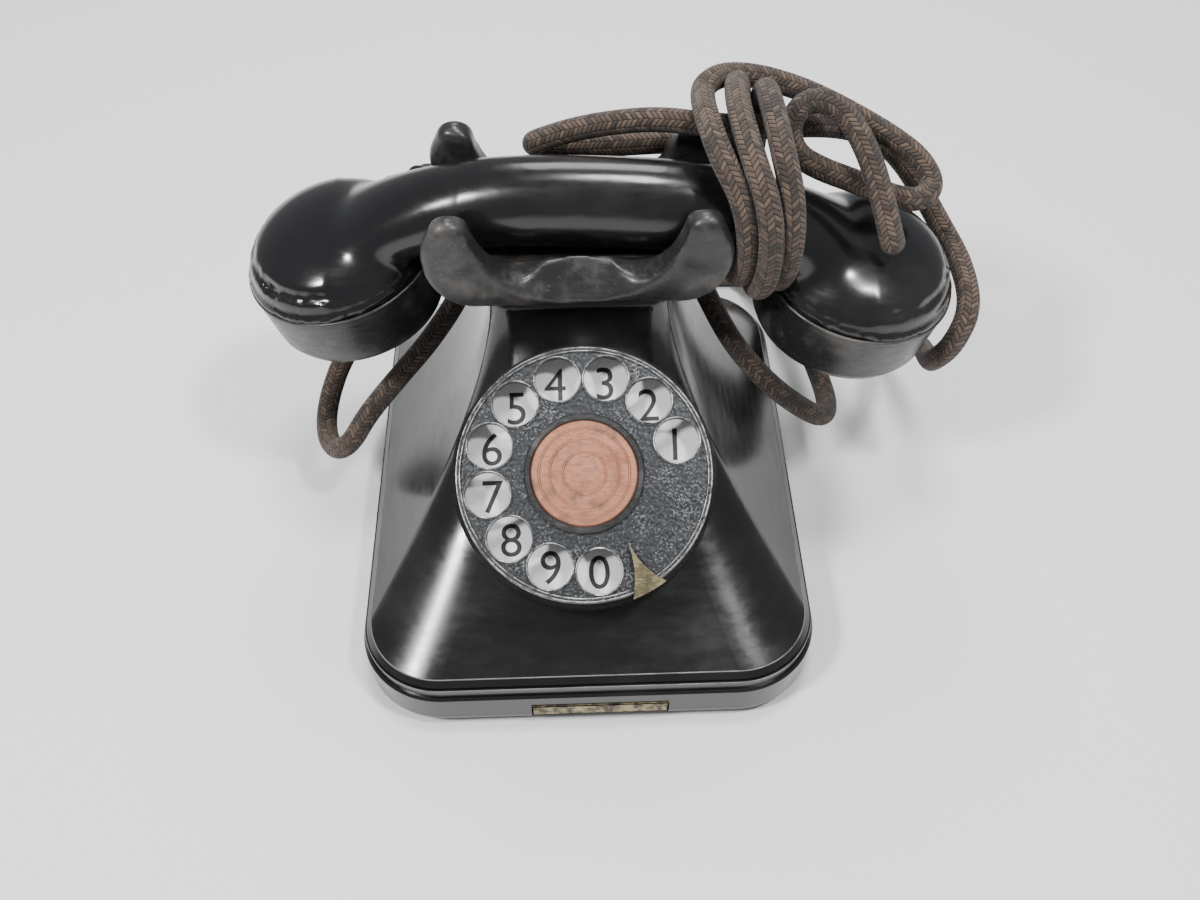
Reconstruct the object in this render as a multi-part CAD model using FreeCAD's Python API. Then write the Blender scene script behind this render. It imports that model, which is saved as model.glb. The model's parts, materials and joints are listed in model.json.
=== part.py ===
import FreeCAD, Part
import math
import os

# A rotary desk telephone in moulded plastic. All sizes are in millimetres, +Z is up and the table is z = 0.
# The case is modelled about its own centre plane x = 0, with the dial facing -Y. The handset lies a little to
# the right of that plane, and at the end every piece is moved so that the origin is the bottom centre of the
# whole telephone.

# Case
case_width = 148.0
case_depth = 178.0
case_corner = 27.0
wall = 3.0
foot_height = 2.5
tray_top = 17.0
tray_floor = 3.0
tray_rounding = 3.5
plate_thickness = 1.5
skirt_inset = 1.2
skirt_height = 4.0
groove_height = 0.8
groove_inset = 2.6
shoulder_height = 2.2
body_inset = 3.6
neck_top = 102.0
neck_half_width = 28.0
neck_front = 1.0
neck_back = 45.0
neck_corner = 6.0
neck_rounding = 3.0
side_flare = 2.0
front_flare = 1.8
corner_flare = 1.2
case_screw_x = 52.0
case_screw_y = 70.0
boss_radius = 5.0
screw_radius = 2.0
screw_play = 0.2
screw_head_radius = 3.8
screw_head_height = 1.8
foot_radius = 8.0
foot_x = 56.0
foot_y = 46.0
label_width = 44.0
label_height = 5.5
label_x = 3.0
label_z = 8.8

# Dial
dial_tilt = 32.5
dial_y = -47.0
dial_z = 77.4
wheel_radius = 38.5
wheel_thickness = 1.8
wheel_rim_depth = 3.6
wheel_rim_bead = 0.5
hole_count = 10
hole_radius = 6.7
hole_circle = 29.6
first_hole_angle = 18.0
hole_step = 28.8
number_plate_depth = 9.0
number_plate_radius = 37.4
number_plate_bore = 18.0
enamel_thickness = 0.8
cup_gap = 0.6
dial_cup_radius = 38.9
dial_cup_wall = 1.0
pod_lip = 1.3
pod_flare = 2.5
pod_length = 34.0
mechanism_radius = 36.0
badge_radius = 16.1
badge_ring_width = 2.0
hub_radius = 7.0
stop_first_angle = 289.5
stop_last_angle = 305.5
shaft_radius = 3.0
running_fit = 0.05
gear_module = 0.7
main_gear_teeth = 60
pinion_teeth = 12
gear_width = 2.0
frame_radius = 34.0

# Cradle and hook switch
cradle_y = 22.0
cradle_bottom = 104.0
cradle_half_width = 46.0
cradle_half_depth = 27.0
horn_tip = 137.0
horn_x = 37.0
saddle_floor = 109.0
saddle_half_width = 17.8
tongue_top = 118.0
plunger_radius = 3.0
plunger_bottom = 60.0
collar_z = 86.0
collar_radius = 6.0
shelf_z = 64.0
lever_arm = 22.0
lever_gap = 0.4

# Handset
cup_spacing = 166.8
cap_radius = 31.0
cap_height = 22.0
cap_taper = 1.2
cap_tilt = 9.0
dome_height = 17.0
dome_shoulder = 1.8
handle_rise = 25.8
handle_drop = 19.5
handle_half_width = 13.3
handle_widening = 5.5
handle_half_height = 14.5
handle_thinning = 4.5
handset_x = 6.1
handset_y = 23.8
handset_z = 98.1
handset_yaw = -4.8
handset_roll = 4.5
handset_play = 0.5
lift_clearance_steps = (0, 5, 10, 15, 20)

# Ringer
gong_radius = 20.0
gong_height = 14.0
gong_x = 24.5
gong_y = 57.0
gong_rim_z = 14.0
coil_radius = 8.0
coil_height = 30.0
coil_x = 8.5
ringer_y = 33.0
armature_z = 45.5
armature_pin_radius = 1.2
hammer_half = 0.9

# Cords
cord_radius = 3.7
gland_radius = 5.6
gland_length = 8.0
gland_z = 10.0
handset_gland_x = 14.0
line_gland_x = 38.0

X = FreeCAD.Vector(1, 0, 0)
Y = FreeCAD.Vector(0, 1, 0)
Z = FreeCAD.Vector(0, 0, 1)
ORIGIN = FreeCAD.Vector(0, 0, 0)


def point(x, y, z):
    return FreeCAD.Vector(x, y, z)


def box(x0, x1, y0, y1, z0, z1):
    return Part.makeBox(x1 - x0, y1 - y0, z1 - z0, point(x0, y0, z0))


def cylinder(radius, x, y, z0, z1):
    return Part.makeCylinder(radius, z1 - z0, point(x, y, z0))


def ring(outer, inner, x, y, z0, z1):
    return cylinder(outer, x, y, z0, z1).cut(cylinder(inner, x, y, z0, z1))


def fuse(shapes):
    whole = shapes[0]
    for shape in shapes[1:]:
        whole = whole.fuse(shape)
    return whole.removeSplitter()


def moved(shape, placement):
    copy = shape.copy()
    copy.Placement = placement.multiply(copy.Placement)
    return copy


def face_from(points):
    return Part.Face(Part.makePolygon(points + [points[0]]))


def curve_through(points):
    spline = Part.BSplineCurve()
    spline.interpolate(points)
    return spline.toShape()


def rounded_wire(half_x, front, back, radius, z):
    """Rounded rectangle, always drawn from the same corner so that sections loft without twisting."""
    edges = []
    corners = [(half_x - radius, back - radius, 0), (-half_x + radius, back - radius, 90),
               (-half_x + radius, front + radius, 180), (half_x - radius, front + radius, 270)]
    ends = []
    for x, y, start in corners:
        angles = [math.radians(start + turn) for turn in (0, 45, 90)]
        arc = [point(x + radius * math.cos(a), y + radius * math.sin(a), z) for a in angles]
        ends.append(arc)
    for index, arc in enumerate(ends):
        edges.append(Part.Arc(*arc).toShape())
        following = ends[(index + 1) % 4]
        edges.append(Part.LineSegment(arc[2], following[0]).toShape())
    return Part.Wire(edges)


def rounded_slab(half_x, front, back, radius, z0, z1):
    face = Part.Face(rounded_wire(half_x, front, back, radius, z0))
    return face.extrude(point(0, 0, z1 - z0))


def case_slab(inset, z0, z1):
    half_depth = case_depth / 2 - inset
    return rounded_slab(case_width / 2 - inset, -half_depth, half_depth, case_corner - inset, z0, z1)


def case_wire(inset, z):
    half_depth = case_depth / 2 - inset
    return rounded_wire(case_width / 2 - inset, -half_depth, half_depth, case_corner - inset, z)


# ---------------------------------------------------------------- case

skirt_top = tray_top + skirt_height
groove_top = skirt_top + groove_height
body_bottom = groove_top + shoulder_height
inside_floor = foot_height + tray_floor
plate_top = inside_floor + plate_thickness


def body_section(z, inset):
    """Plan outline of the flared body at one height."""
    rest = 1 - (z - body_bottom) / (neck_top - body_bottom)
    side = neck_half_width + (case_width / 2 - body_inset - neck_half_width) * rest ** side_flare
    front = neck_front + (-case_depth / 2 + body_inset - neck_front) * rest ** front_flare
    back = neck_back + (case_depth / 2 - body_inset - neck_back) * rest ** front_flare
    corner = neck_corner + (case_corner - body_inset - neck_corner) * rest ** corner_flare
    return rounded_wire(side - inset, front + inset, back - inset, corner - inset, z)


def body_loft(inset, top):
    heights = [body_bottom + (top - body_bottom) * share for share in (0, 0.1, 0.22, 0.38, 0.58, 0.8, 1)]
    return Part.makeLoft([body_section(z, inset) for z in heights], True, False)


dial_axis = point(0, -math.sin(math.radians(dial_tilt)), math.cos(math.radians(dial_tilt)))
dial_centre = point(0, dial_y, dial_z)
dial_placement = FreeCAD.Placement(dial_centre, FreeCAD.Rotation(X, dial_tilt))

cup_top = -wheel_rim_depth - cup_gap
cup_floor_top = -number_plate_depth - enamel_thickness
cup_floor = cup_floor_top - dial_cup_wall
pod_top = cup_top - 0.8
seat_play = 0.1
bush_radius = 6.0


def on_dial(shape):
    return moved(shape, dial_placement)


def case_outer():
    skirt = case_slab(skirt_inset, tray_top, skirt_top)
    groove = case_slab(groove_inset, skirt_top, groove_top)
    shoulder = Part.makeLoft([case_wire(skirt_inset + 0.5, groove_top), case_wire(body_inset, body_bottom)],
                             True, True)
    body = body_loft(0, neck_top)
    rim = [edge for edge in body.Edges if edge.BoundBox.ZMin > neck_top - 0.01]
    body = body.makeFillet(neck_rounding, rim)
    pod_radius = dial_cup_radius + pod_lip
    pod = Part.makeCone(pod_radius + pod_flare, pod_radius, pod_length)
    pod.translate(point(0, 0, pod_top - pod_length))
    return fuse([skirt, groove, shoulder, body, on_dial(pod)])


def case_shell():
    outer = case_outer()
    hollow = [case_slab(skirt_inset + wall, tray_top, body_bottom), body_loft(wall, neck_top - wall)]
    seat = cylinder(dial_cup_radius + seat_play, 0, 0, cup_floor, 5)
    bay = cylinder(mechanism_radius, 0, 0, pod_top - pod_length - 8, cup_floor)
    shell = outer.cut(fuse(hollow)).cut(on_dial(seat)).cut(on_dial(bay))
    core = case_core()
    for x in (-case_screw_x, case_screw_x):
        for y in (-case_screw_y, case_screw_y):
            boss = cylinder(boss_radius, x, y, plate_top, neck_top).common(core)
            shell = shell.fuse(boss).cut(cylinder(screw_radius, x, y, 0, tray_top + 4))
    bush_hole = cylinder(bush_radius, 0, cradle_y, neck_top - 2 * wall, neck_top + 1)
    return shell.cut(bush_hole).removeSplitter()


def case_core():
    """Everything inside the outer skin above the base plate, used to trim what is moulded to the skin."""
    below = case_slab(skirt_inset + wall / 2, plate_top, body_bottom)
    return below.fuse(body_loft(wall / 2, neck_top - wall / 2))


def base_tray():
    block = case_slab(0, foot_height, tray_top)
    lower = [edge for edge in block.Edges if edge.BoundBox.ZMax < foot_height + 0.01]
    block = block.makeFillet(tray_rounding, lower)
    upper = [edge for edge in block.Edges if edge.BoundBox.ZMin > tray_top - 0.01]
    block = block.makeChamfer(0.8, upper)
    tray = block.cut(case_slab(wall, inside_floor, tray_top + 1))
    for x in (-1, 1):
        for y in (-1, 1):
            screw_x, screw_y = x * case_screw_x, y * case_screw_y
            recess = cylinder(screw_head_radius + 0.3, screw_x, screw_y, 0, foot_height + screw_head_height + 0.2)
            tray = tray.cut(recess).cut(cylinder(screw_radius + screw_play, screw_x, screw_y, 0, 9))
            tray = tray.cut(cylinder(3.0, x * foot_x, y * foot_y, 0, 9))
    tray = tray.cut(label_blank())
    for x in (handset_gland_x, line_gland_x):
        tray = tray.cut(cord_entry(x))
    return tray


def rubber_feet():
    feet = []
    for x in (-foot_x, foot_x):
        for y in (-foot_y, foot_y):
            pad = cylinder(foot_radius, x, y, 0, foot_height)
            feet.append(pad.fuse(cylinder(3.0, x, y, foot_height, inside_floor - 0.3)))
    return Part.makeCompound(feet)


def case_screws():
    screws = []
    for x in (-case_screw_x, case_screw_x):
        for y in (-case_screw_y, case_screw_y):
            head = cylinder(screw_head_radius, x, y, foot_height + 0.2, foot_height + 0.2 + screw_head_height)
            slot = box(x - 5, x + 5, y - 0.5, y + 0.5, 0, foot_height + 0.9)
            shank = cylinder(screw_radius, x, y, foot_height + 0.2 + screw_head_height, tray_top + 3)
            screws.append(head.cut(slot).fuse(shank))
    return Part.makeCompound(screws)


def base_plate():
    edge = wall + 1.5
    plate = case_slab(edge, inside_floor, plate_top)
    for x in (-case_screw_x, case_screw_x):
        for y in (-case_screw_y, case_screw_y):
            plate = plate.cut(cylinder(screw_radius + screw_play, x, y, 0, 20))
    for x in (-38, 38):
        plate = plate.cut(box(x - 8, x + 8, -74, -60, 0, 20))
    return plate


def label_blank():
    front = -case_depth / 2
    return box(label_x - label_width / 2, label_x + label_width / 2, front - 0.4, front + 0.6,
               label_z - label_height / 2, label_z + label_height / 2)


# ---------------------------------------------------------------- dial

def finger_wheel():
    disc = cylinder(wheel_radius, 0, 0, -wheel_thickness, 0)
    rim = ring(wheel_radius, wheel_radius - 1.4, 0, 0, -wheel_rim_depth, wheel_rim_bead)
    hub = cylinder(hub_radius, 0, 0, cup_floor - 1.6, -wheel_thickness)
    wheel = fuse([disc, rim, hub])
    for index in range(hole_count):
        angle = math.radians(first_hole_angle + index * hole_step)
        x, y = hole_circle * math.cos(angle), hole_circle * math.sin(angle)
        wheel = wheel.fuse(ring(hole_radius + 0.9, hole_radius - 0.5, x, y, -wheel_thickness, 0.3))
        wheel = wheel.cut(cylinder(hole_radius, x, y, -wheel_rim_depth, 2))
    wheel = wheel.cut(cylinder(shaft_radius, 0, 0, -40, -wheel_thickness))
    return wheel.removeSplitter()


def number_plate():
    return ring(number_plate_radius, number_plate_bore, 0, 0, cup_floor_top, -number_plate_depth)


def dial_cup():
    cup = cylinder(dial_cup_radius, 0, 0, cup_floor, cup_top)
    cup = cup.cut(cylinder(dial_cup_radius - dial_cup_wall, 0, 0, cup_floor_top, 1))
    cup = cup.cut(cylinder(hub_radius + 1, 0, 0, -40, 0))
    for x, y in pillar_places():
        cup = cup.cut(cylinder(1.2, x, y, -40, 0)).cut(cylinder(2.3, x, y, cup_floor + 0.3, 0))
    return cup


def annular_sector(inner, outer, first, last, z0, z1):
    """Curved block between two radii and two angles in degrees."""
    def at(radius, angle):
        return point(radius * math.cos(math.radians(angle)), radius * math.sin(math.radians(angle)), z0)
    middle = (first + last) / 2
    edges = [Part.Arc(at(outer, first), at(outer, middle), at(outer, last)).toShape(),
             Part.LineSegment(at(outer, last), at(inner, last)).toShape(),
             Part.Arc(at(inner, last), at(inner, middle), at(inner, first)).toShape(),
             Part.LineSegment(at(inner, first), at(outer, first)).toShape()]
    return Part.Face(Part.Wire(edges)).extrude(point(0, 0, z1 - z0))


def finger_stop():
    """Hooked blade over the wheel, with a foot on the lip of the dial's pod."""
    low = wheel_rim_bead + 0.9
    high = low + 1.1
    rim = dial_cup_radius + pod_lip - 0.1
    first, last = math.radians(stop_first_angle), math.radians(stop_last_angle)
    middle = (first + last) / 2
    tip = point(12.0, -20.0, low)
    left = point(rim * math.cos(first), rim * math.sin(first), low)
    right = point(rim * math.cos(last), rim * math.sin(last), low)
    outside = point(rim * math.cos(middle), rim * math.sin(middle), low)
    edges = [Part.Arc(tip, point(13.9, -29.0, low), left).toShape(), Part.Arc(left, outside, right).toShape(),
             Part.Arc(right, point(17.4, -28.4, low), tip).toShape()]
    blade = Part.Face(Part.Wire(edges)).extrude(point(0, 0, high - low))
    foot = annular_sector(rim - 0.9, rim, stop_first_angle + 1, stop_last_angle - 1, pod_top, high)
    return fuse([blade, foot])


def dial_badge():
    disc = cylinder(badge_radius, 0, 0, 0, 0.9)
    return disc.makeChamfer(0.4, [edge for edge in disc.Edges if edge.BoundBox.ZMin > 0.8])


def badge_ring():
    band = ring(badge_radius + badge_ring_width, badge_radius, 0, 0, 0, 1.3)
    return band.makeChamfer(0.4, [edge for edge in band.Edges if edge.BoundBox.ZMin > 1.2])


def gear(teeth, width, bore, first_angle):
    """Straight gear with trapezoid teeth and free running backlash."""
    pitch = teeth * gear_module / 2
    root, tip = pitch - 1.2 * gear_module, pitch + 0.85 * gear_module
    step = 2 * math.pi / teeth
    outline = []
    for index in range(teeth):
        middle = first_angle + index * step
        for radius, offset in ((root, -0.30), (tip, -0.13), (tip, 0.13), (root, 0.30)):
            angle = middle + offset * step
            outline.append(point(radius * math.cos(angle), radius * math.sin(angle), 0))
    body = face_from(outline).extrude(point(0, 0, width))
    return body.cut(cylinder(bore, 0, 0, -1, width + 1))


frame_z = cup_floor - 5.0
gear_z = frame_z - plate_thickness - 4.0
cam_z = gear_z - 3.5
rear_plate_z = cam_z - 5.0
governor_distance = gear_module * (main_gear_teeth + pinion_teeth) / 2
governor_weight_radius = 6.4
governor_shaft_radius = 1.0


def pillar_places():
    return [(31.0 * math.cos(math.radians(a)), 31.0 * math.sin(math.radians(a))) for a in (90, 225, 315)]


def dial_shaft():
    return cylinder(shaft_radius, 0, 0, rear_plate_z - plate_thickness - 1, -wheel_thickness)


def dial_frame():
    front = cylinder(frame_radius, 0, 0, frame_z - plate_thickness, frame_z)
    rear = cylinder(frame_radius, 0, 0, rear_plate_z - plate_thickness, rear_plate_z)
    rear = rear.cut(box(-12, 12, 12, 26, -60, 0)).cut(box(-12, 12, -26, -12, -60, 0))
    frame = front.fuse(rear)
    for x, y in pillar_places():
        frame = frame.fuse(cylinder(2.4, x, y, rear_plate_z, cup_floor))
        frame = frame.cut(cylinder(1.2, x, y, cup_floor - 4, 0))
    bearings = cylinder(shaft_radius + running_fit, 0, 0, -60, 0)
    governor_bearing = cylinder(governor_shaft_radius + running_fit, -governor_distance, 0, -60, 0)
    return frame.cut(bearings).cut(governor_bearing).removeSplitter()


def dial_frame_screws():
    screws = []
    for x, y in pillar_places():
        head = cylinder(2.2, x, y, cup_floor + 0.3, cup_floor_top - 0.1)
        screws.append(head.fuse(cylinder(1.2, x, y, cup_floor - 3.8, cup_floor + 0.3)))
    return Part.makeCompound(screws)


def dial_spring_drum():
    return ring(14.0, hub_radius + 1.5, 0, 0, frame_z, frame_z + 2.8)


def dial_main_gear():
    wheel = gear(main_gear_teeth, gear_width, shaft_radius, math.pi)
    wheel.translate(point(0, 0, gear_z))
    for index in range(5):
        angle = 2 * math.pi * index / 5
        wheel = wheel.cut(cylinder(4.2, 12 * math.cos(angle), 12 * math.sin(angle), -60, 0))
    return wheel


def pulse_cam():
    cam = cylinder(9.5, 0, 0, cam_z, cam_z + 1.6)
    for index in range(hole_count):
        angle = math.radians(40 + index * 27)
        x, y = 9.5 * math.cos(angle), 9.5 * math.sin(angle)
        cam = cam.fuse(cylinder(1.2, x, y, cam_z, cam_z + 1.6))
    return cam.cut(cylinder(shaft_radius, 0, 0, -60, 0)).removeSplitter()


def impulse_contacts():
    block = box(20, 30, -5, 5, rear_plate_z, cam_z + 3)
    springs = [box(11.6, 20, y - 0.2, y + 0.2, cam_z - 1.4, cam_z + 2.2) for y in (-3, 0, 3)]
    return fuse([block] + springs)


def governor_rotor():
    pinion = gear(pinion_teeth, gear_width + 0.8, governor_shaft_radius * 0.5, math.pi / pinion_teeth)
    pinion.translate(point(0, 0, gear_z - 0.4))
    shaft = cylinder(governor_shaft_radius, 0, 0, rear_plate_z - plate_thickness, frame_z)
    hub = cylinder(2.2, 0, 0, rear_plate_z + 1.2, gear_z - 0.8)
    rotor = fuse([pinion, shaft, hub])
    rotor.translate(point(-governor_distance, 0, 0))
    return rotor


def governor_weights():
    weights = []
    inner, outer = 2.2, governor_weight_radius
    sector = ring(outer, inner, 0, 0, rear_plate_z + 1.6, gear_z - 1.2)
    for side in (-1, 1):
        half = sector.common(box(-9, 9, 0.6 if side > 0 else -9, 9 if side > 0 else -0.6, -60, 0))
        half.translate(point(-governor_distance, 0, 0))
        weights.append(half)
    return Part.makeCompound(weights)


def governor_cup():
    return ring(governor_weight_radius + 1.9, governor_weight_radius + 0.6, -governor_distance, 0,
                rear_plate_z, gear_z - 0.8)


# ---------------------------------------------------------------- cradle and hook switch

def cradle_front_face():
    """Front outline of the cradle: tongue in the middle, a dip on each side and two tall horns."""
    y = cradle_y - cradle_half_depth
    bottom = cradle_bottom
    half = cradle_half_width
    edges = []
    for side in (1, -1):
        foot = point(side * (half - 12.5), y, bottom)
        shoulder = point(side * half, y, bottom + 17)
        outer = point(side * (horn_x + 5.6), y, horn_tip - 5)
        tip = point(side * horn_x, y, horn_tip)
        inner = point(side * (horn_x - 5.6), y, horn_tip - 5.5)
        dip = point(side * 18.5, y, tongue_top - 3.6)
        top = point(side * 10.5, y, tongue_top - 0.7)
        edges.append(Part.LineSegment(point(0, y, bottom), foot).toShape())
        edges.append(curve_through([foot, point(side * (half - 3.4), y, bottom + 8), shoulder, outer]))
        edges.append(Part.Arc(outer, tip, inner).toShape())
        edges.append(curve_through([inner, point(side * (horn_x - 8.8), y, horn_tip - 13.5), dip, top]))
        edges.append(curve_through([top, point(side * 5, y, tongue_top - 0.15), point(0, y, tongue_top)]))
    return Part.Face(Part.Wire(Part.__sortEdges__(edges)))


def cradle_side_face():
    """Side outline of the cradle: a front wall, the saddle and a rear wall."""
    x = -cradle_half_width - 1
    edges = []
    for side in (-1, 1):
        def at(offset, z):
            return point(x, cradle_y + side * offset, z)
        half = cradle_half_depth
        edges.append(Part.LineSegment(at(0, cradle_bottom), at(half - 2.5, cradle_bottom)).toShape())
        edges.append(curve_through([at(half - 2.5, cradle_bottom), at(half - 0.4, cradle_bottom + 5),
                                    at(half, tongue_top), at(half - 1.6, horn_tip - 5)]))
        edges.append(Part.Arc(at(half - 1.6, horn_tip - 5), at(half - 5.2, horn_tip),
                              at(half - 8.8, horn_tip - 5)).toShape())
        edges.append(curve_through([at(half - 8.8, horn_tip - 5), at(saddle_half_width, 124.0),
                                    at(saddle_half_width - 1.4, 116.5), at(11.0, saddle_floor + 1.2),
                                    at(0, saddle_floor)]))
    return Part.Face(Part.Wire(Part.__sortEdges__(edges)))


def cradle():
    block = cradle_front_face().extrude(point(0, 2 * cradle_half_depth, 0))
    body = block.common(cradle_side_face().extrude(point(2 * cradle_half_width + 2, 0, 0)))
    for side in (-1, 1):
        face_centre = point(0, cradle_y + side * 21.6, 113.2)
        normal = point(0, side * 0.844, 0.537)
        body = body.cut(Part.makeSphere(38, face_centre + normal * 36.6))
    body = body.cut(cylinder(plunger_radius, 0, cradle_y, 0, saddle_floor - 1.6))
    for x in (-9, 9):
        body = body.cut(cylinder(1.5, x, cradle_y, 0, saddle_floor - 1.6))
    handle = on_handset(handset_outer(handset_play))
    for lift in lift_clearance_steps:
        raised = handle.copy()
        raised.translate(point(0, 0, lift))
        body = body.cut(raised)
    return body.removeSplitter()


def cradle_plunger():
    rod = cylinder(plunger_radius, 0, cradle_y, plunger_bottom, saddle_floor - 1.8)
    collar = cylinder(collar_radius, 0, cradle_y, collar_z, collar_z + 2)
    return fuse([rod, collar])


def cradle_screws():
    screws = []
    for x in (-9, 9):
        head = cylinder(2.6, x, cradle_y, cradle_bottom - 1.0, cradle_bottom)
        screws.append(head.fuse(cylinder(1.5, x, cradle_y, cradle_bottom, saddle_floor - 2.2)))
    return Part.makeCompound(screws)


def plunger_bush():
    top = neck_top + 0.5
    bush = fuse([cylinder(bush_radius, 0, cradle_y, neck_top - wall - 4, top),
                 cylinder(bush_radius + 3, 0, cradle_y, neck_top - wall - 1.5, neck_top - wall)])
    return bush.cut(cylinder(plunger_radius + running_fit, 0, cradle_y, 0, 200))


def cradle_spring():
    """Compression spring from the switch shelf to the collar on the plunger."""
    wire_radius, coil_radius_mean = 0.45, 4.6
    low, high = shelf_z + 2 + wire_radius, collar_z - wire_radius
    helix = Part.makeHelix(3.0, high - low, coil_radius_mean)
    profile = Part.Wire(Part.Circle(point(coil_radius_mean, 0, 0), Y, wire_radius).toShape())
    coil = Part.Wire(helix).makePipeShell([profile], True, True)
    coil.translate(point(0, cradle_y, low))
    return coil


frame_half = 14.0
pivot_y = cradle_y + lever_arm
lever_top = plunger_bottom - lever_gap
pivot_z = lever_top - 3.0


def hook_switch_frame():
    roof = neck_top - wall
    top = box(-frame_half, frame_half, cradle_y - 12, cradle_y + 12, roof - 3.0, roof - 1.5)
    top = top.cut(cylinder(bush_radius + 0.2, 0, cradle_y, 0, 200))
    shelf = box(-frame_half, frame_half, cradle_y - 8, cradle_y + 8, shelf_z, shelf_z + 2)
    shelf = shelf.cut(cylinder(plunger_radius + 0.3, 0, cradle_y, 0, 200))
    parts = [top, shelf]
    for side in (-1, 1):
        x = side * (frame_half - 1.5) if side > 0 else -frame_half
        outline = [point(x, cradle_y - 12, pivot_z - 6), point(x, pivot_y + 4, pivot_z - 6),
                   point(x, pivot_y + 4, pivot_z + 4), point(x, cradle_y + 10, shelf_z + 8),
                   point(x, cradle_y + 10, roof - 1.5), point(x, cradle_y - 12, roof - 1.5)]
        parts.append(face_from(outline).extrude(point(1.5, 0, 0)))
    frame = fuse(parts)
    return frame.cut(Part.makeCylinder(1.5, 60, point(-30, pivot_y, pivot_z), X))


def hook_pivot_pin():
    return Part.makeCylinder(1.5, 2 * frame_half, point(-frame_half, pivot_y, pivot_z), X)


def hook_lever():
    arm = box(-4, 4, cradle_y - 4, pivot_y, lever_top - 3, lever_top)
    barrel = Part.makeCylinder(3.2, 16, point(-8, pivot_y, pivot_z), X)
    return fuse([arm, barrel]).cut(Part.makeCylinder(1.5 + running_fit, 60, point(-30, pivot_y, pivot_z), X))


def hook_switch_contacts():
    inner = frame_half - 1.5
    low = pivot_z - 6
    block = box(-inner, inner, cradle_y - 12, cradle_y - 7, low, low + 8)
    springs = []
    for x in (-8, -2.7, 2.7, 8):
        for z in (low + 1.0, low + 2.6):
            springs.append(box(x - 1.6, x + 1.6, cradle_y - 7, cradle_y + 14, z, z + 0.4))
    return fuse([block] + springs)


# ---------------------------------------------------------------- ringer

def ringer_frame():
    base = box(-38, 38, ringer_y - 10, gong_y + 5, plate_top, plate_top + 2)
    posts = [cylinder(3.0, side * gong_x, gong_y, plate_top + 2, gong_rim_z + gong_height - 2)
             for side in (-1, 1)]
    yoke = box(-3, 3, ringer_y - 9, ringer_y - 6, plate_top + 2, armature_z + 4)
    pin = Part.makeCylinder(armature_pin_radius, 10.5, point(0, ringer_y - 6, armature_z), Y)
    return fuse([base, yoke, pin] + posts)


def gong(side):
    """Bell cup, mouth down, on its post."""
    top = gong_rim_z + gong_height
    profile = [point(0, 0, top), point(gong_radius * 0.55, 0, top), point(gong_radius * 0.9, 0, top - 5),
               point(gong_radius, 0, gong_rim_z), point(gong_radius - 1.6, 0, gong_rim_z),
               point(gong_radius * 0.9 - 1.8, 0, top - 5.6), point(gong_radius * 0.52, 0, top - 2),
               point(0, 0, top - 2)]
    shape = face_from(profile).revolve(ORIGIN, Z, 360).cut(cylinder(1.6, 0, 0, 0, 60))
    shape.translate(point(side * gong_x, gong_y, 0))
    return shape


def gong_screws():
    screws = []
    top = gong_rim_z + gong_height
    for side in (-1, 1):
        head = cylinder(3.4, side * gong_x, gong_y, top, top + 1.8)
        head = head.cut(box(side * gong_x - 4, side * gong_x + 4, gong_y - 0.4, gong_y + 0.4, top + 1, top + 3))
        screws.append(head.fuse(cylinder(1.6, side * gong_x, gong_y, top - 2, top)))
    return Part.makeCompound(screws)


def ringer_cores():
    cores = []
    for side in (-1, 1):
        low = plate_top + 2
        cores.append(cylinder(3.0, side * coil_x, ringer_y, low, low + coil_height + 3.5))
    return Part.makeCompound(cores)


def ringer_coils():
    coils = []
    low = plate_top + 3
    for side in (-1, 1):
        winding = ring(coil_radius - 1.2, 3.0, side * coil_x, ringer_y, low, low + coil_height)
        lower = ring(coil_radius, 3.0, side * coil_x, ringer_y, low, low + 1.4)
        upper = ring(coil_radius, 3.0, side * coil_x, ringer_y, low + coil_height - 1.4, low + coil_height)
        coils.append(fuse([winding, lower, upper]))
    return Part.makeCompound(coils)


def clapper():
    """Armature on the pivot pin, with the hammer rod reaching between the two gongs."""
    bar = box(-15, 15, ringer_y - 3, ringer_y + 3, armature_z - 1.2, armature_z + 1.2)
    hub = Part.makeCylinder(2.6, 7, point(0, ringer_y - 3.5, armature_z), Y)
    bore = Part.makeCylinder(armature_pin_radius + running_fit, 9, point(0, ringer_y - 4.5, armature_z), Y)
    ball_z = gong_rim_z + gong_height * 0.6
    arm_low, arm_high = armature_z + 1.7, armature_z + 3.2
    reach = box(-hammer_half, hammer_half, ringer_y - 2, gong_y + hammer_half, arm_low, arm_high)
    drop = box(-hammer_half, hammer_half, gong_y - hammer_half, gong_y + hammer_half, ball_z, arm_high)
    ball = Part.makeSphere(2.2, point(0, gong_y, ball_z))
    return fuse([bar, hub]).cut(bore).fuse(fuse([reach, drop, ball])).removeSplitter()


# ---------------------------------------------------------------- other parts in the base

def induction_coil():
    x, z = -42.0, plate_top + 11
    winding = Part.makeCylinder(8.6, 46, point(x, -26, z), Y)
    cheeks = [box(x - 10.5, x + 10.5, y, y + 3, plate_top, plate_top + 22) for y in (-29, 20)]
    return fuse([winding] + cheeks)


def condenser():
    can = box(33, 54, -40, 2, plate_top, plate_top + 20)
    return can.makeFillet(2.0, [e for e in can.Edges if e.BoundBox.ZLength > 15])


def terminal_block():
    block = box(-20, 20, -22, -6, plate_top, plate_top + 9)
    for x in (-13.5, -4.5, 4.5, 13.5):
        block = block.cut(cylinder(1.3, x, -14, plate_top + 3, plate_top + 12))
    return block


def terminal_screws():
    screws = []
    top = plate_top + 9
    for x in (-13.5, -4.5, 4.5, 13.5):
        head = cylinder(2.9, x, -14, top, top + 1.8).cut(box(x - 4, x + 4, -14.4, -13.6, top + 1, top + 3))
        screws.append(head.fuse(cylinder(1.3, x, -14, top - 5, top)))
    return Part.makeCompound(screws)


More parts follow.
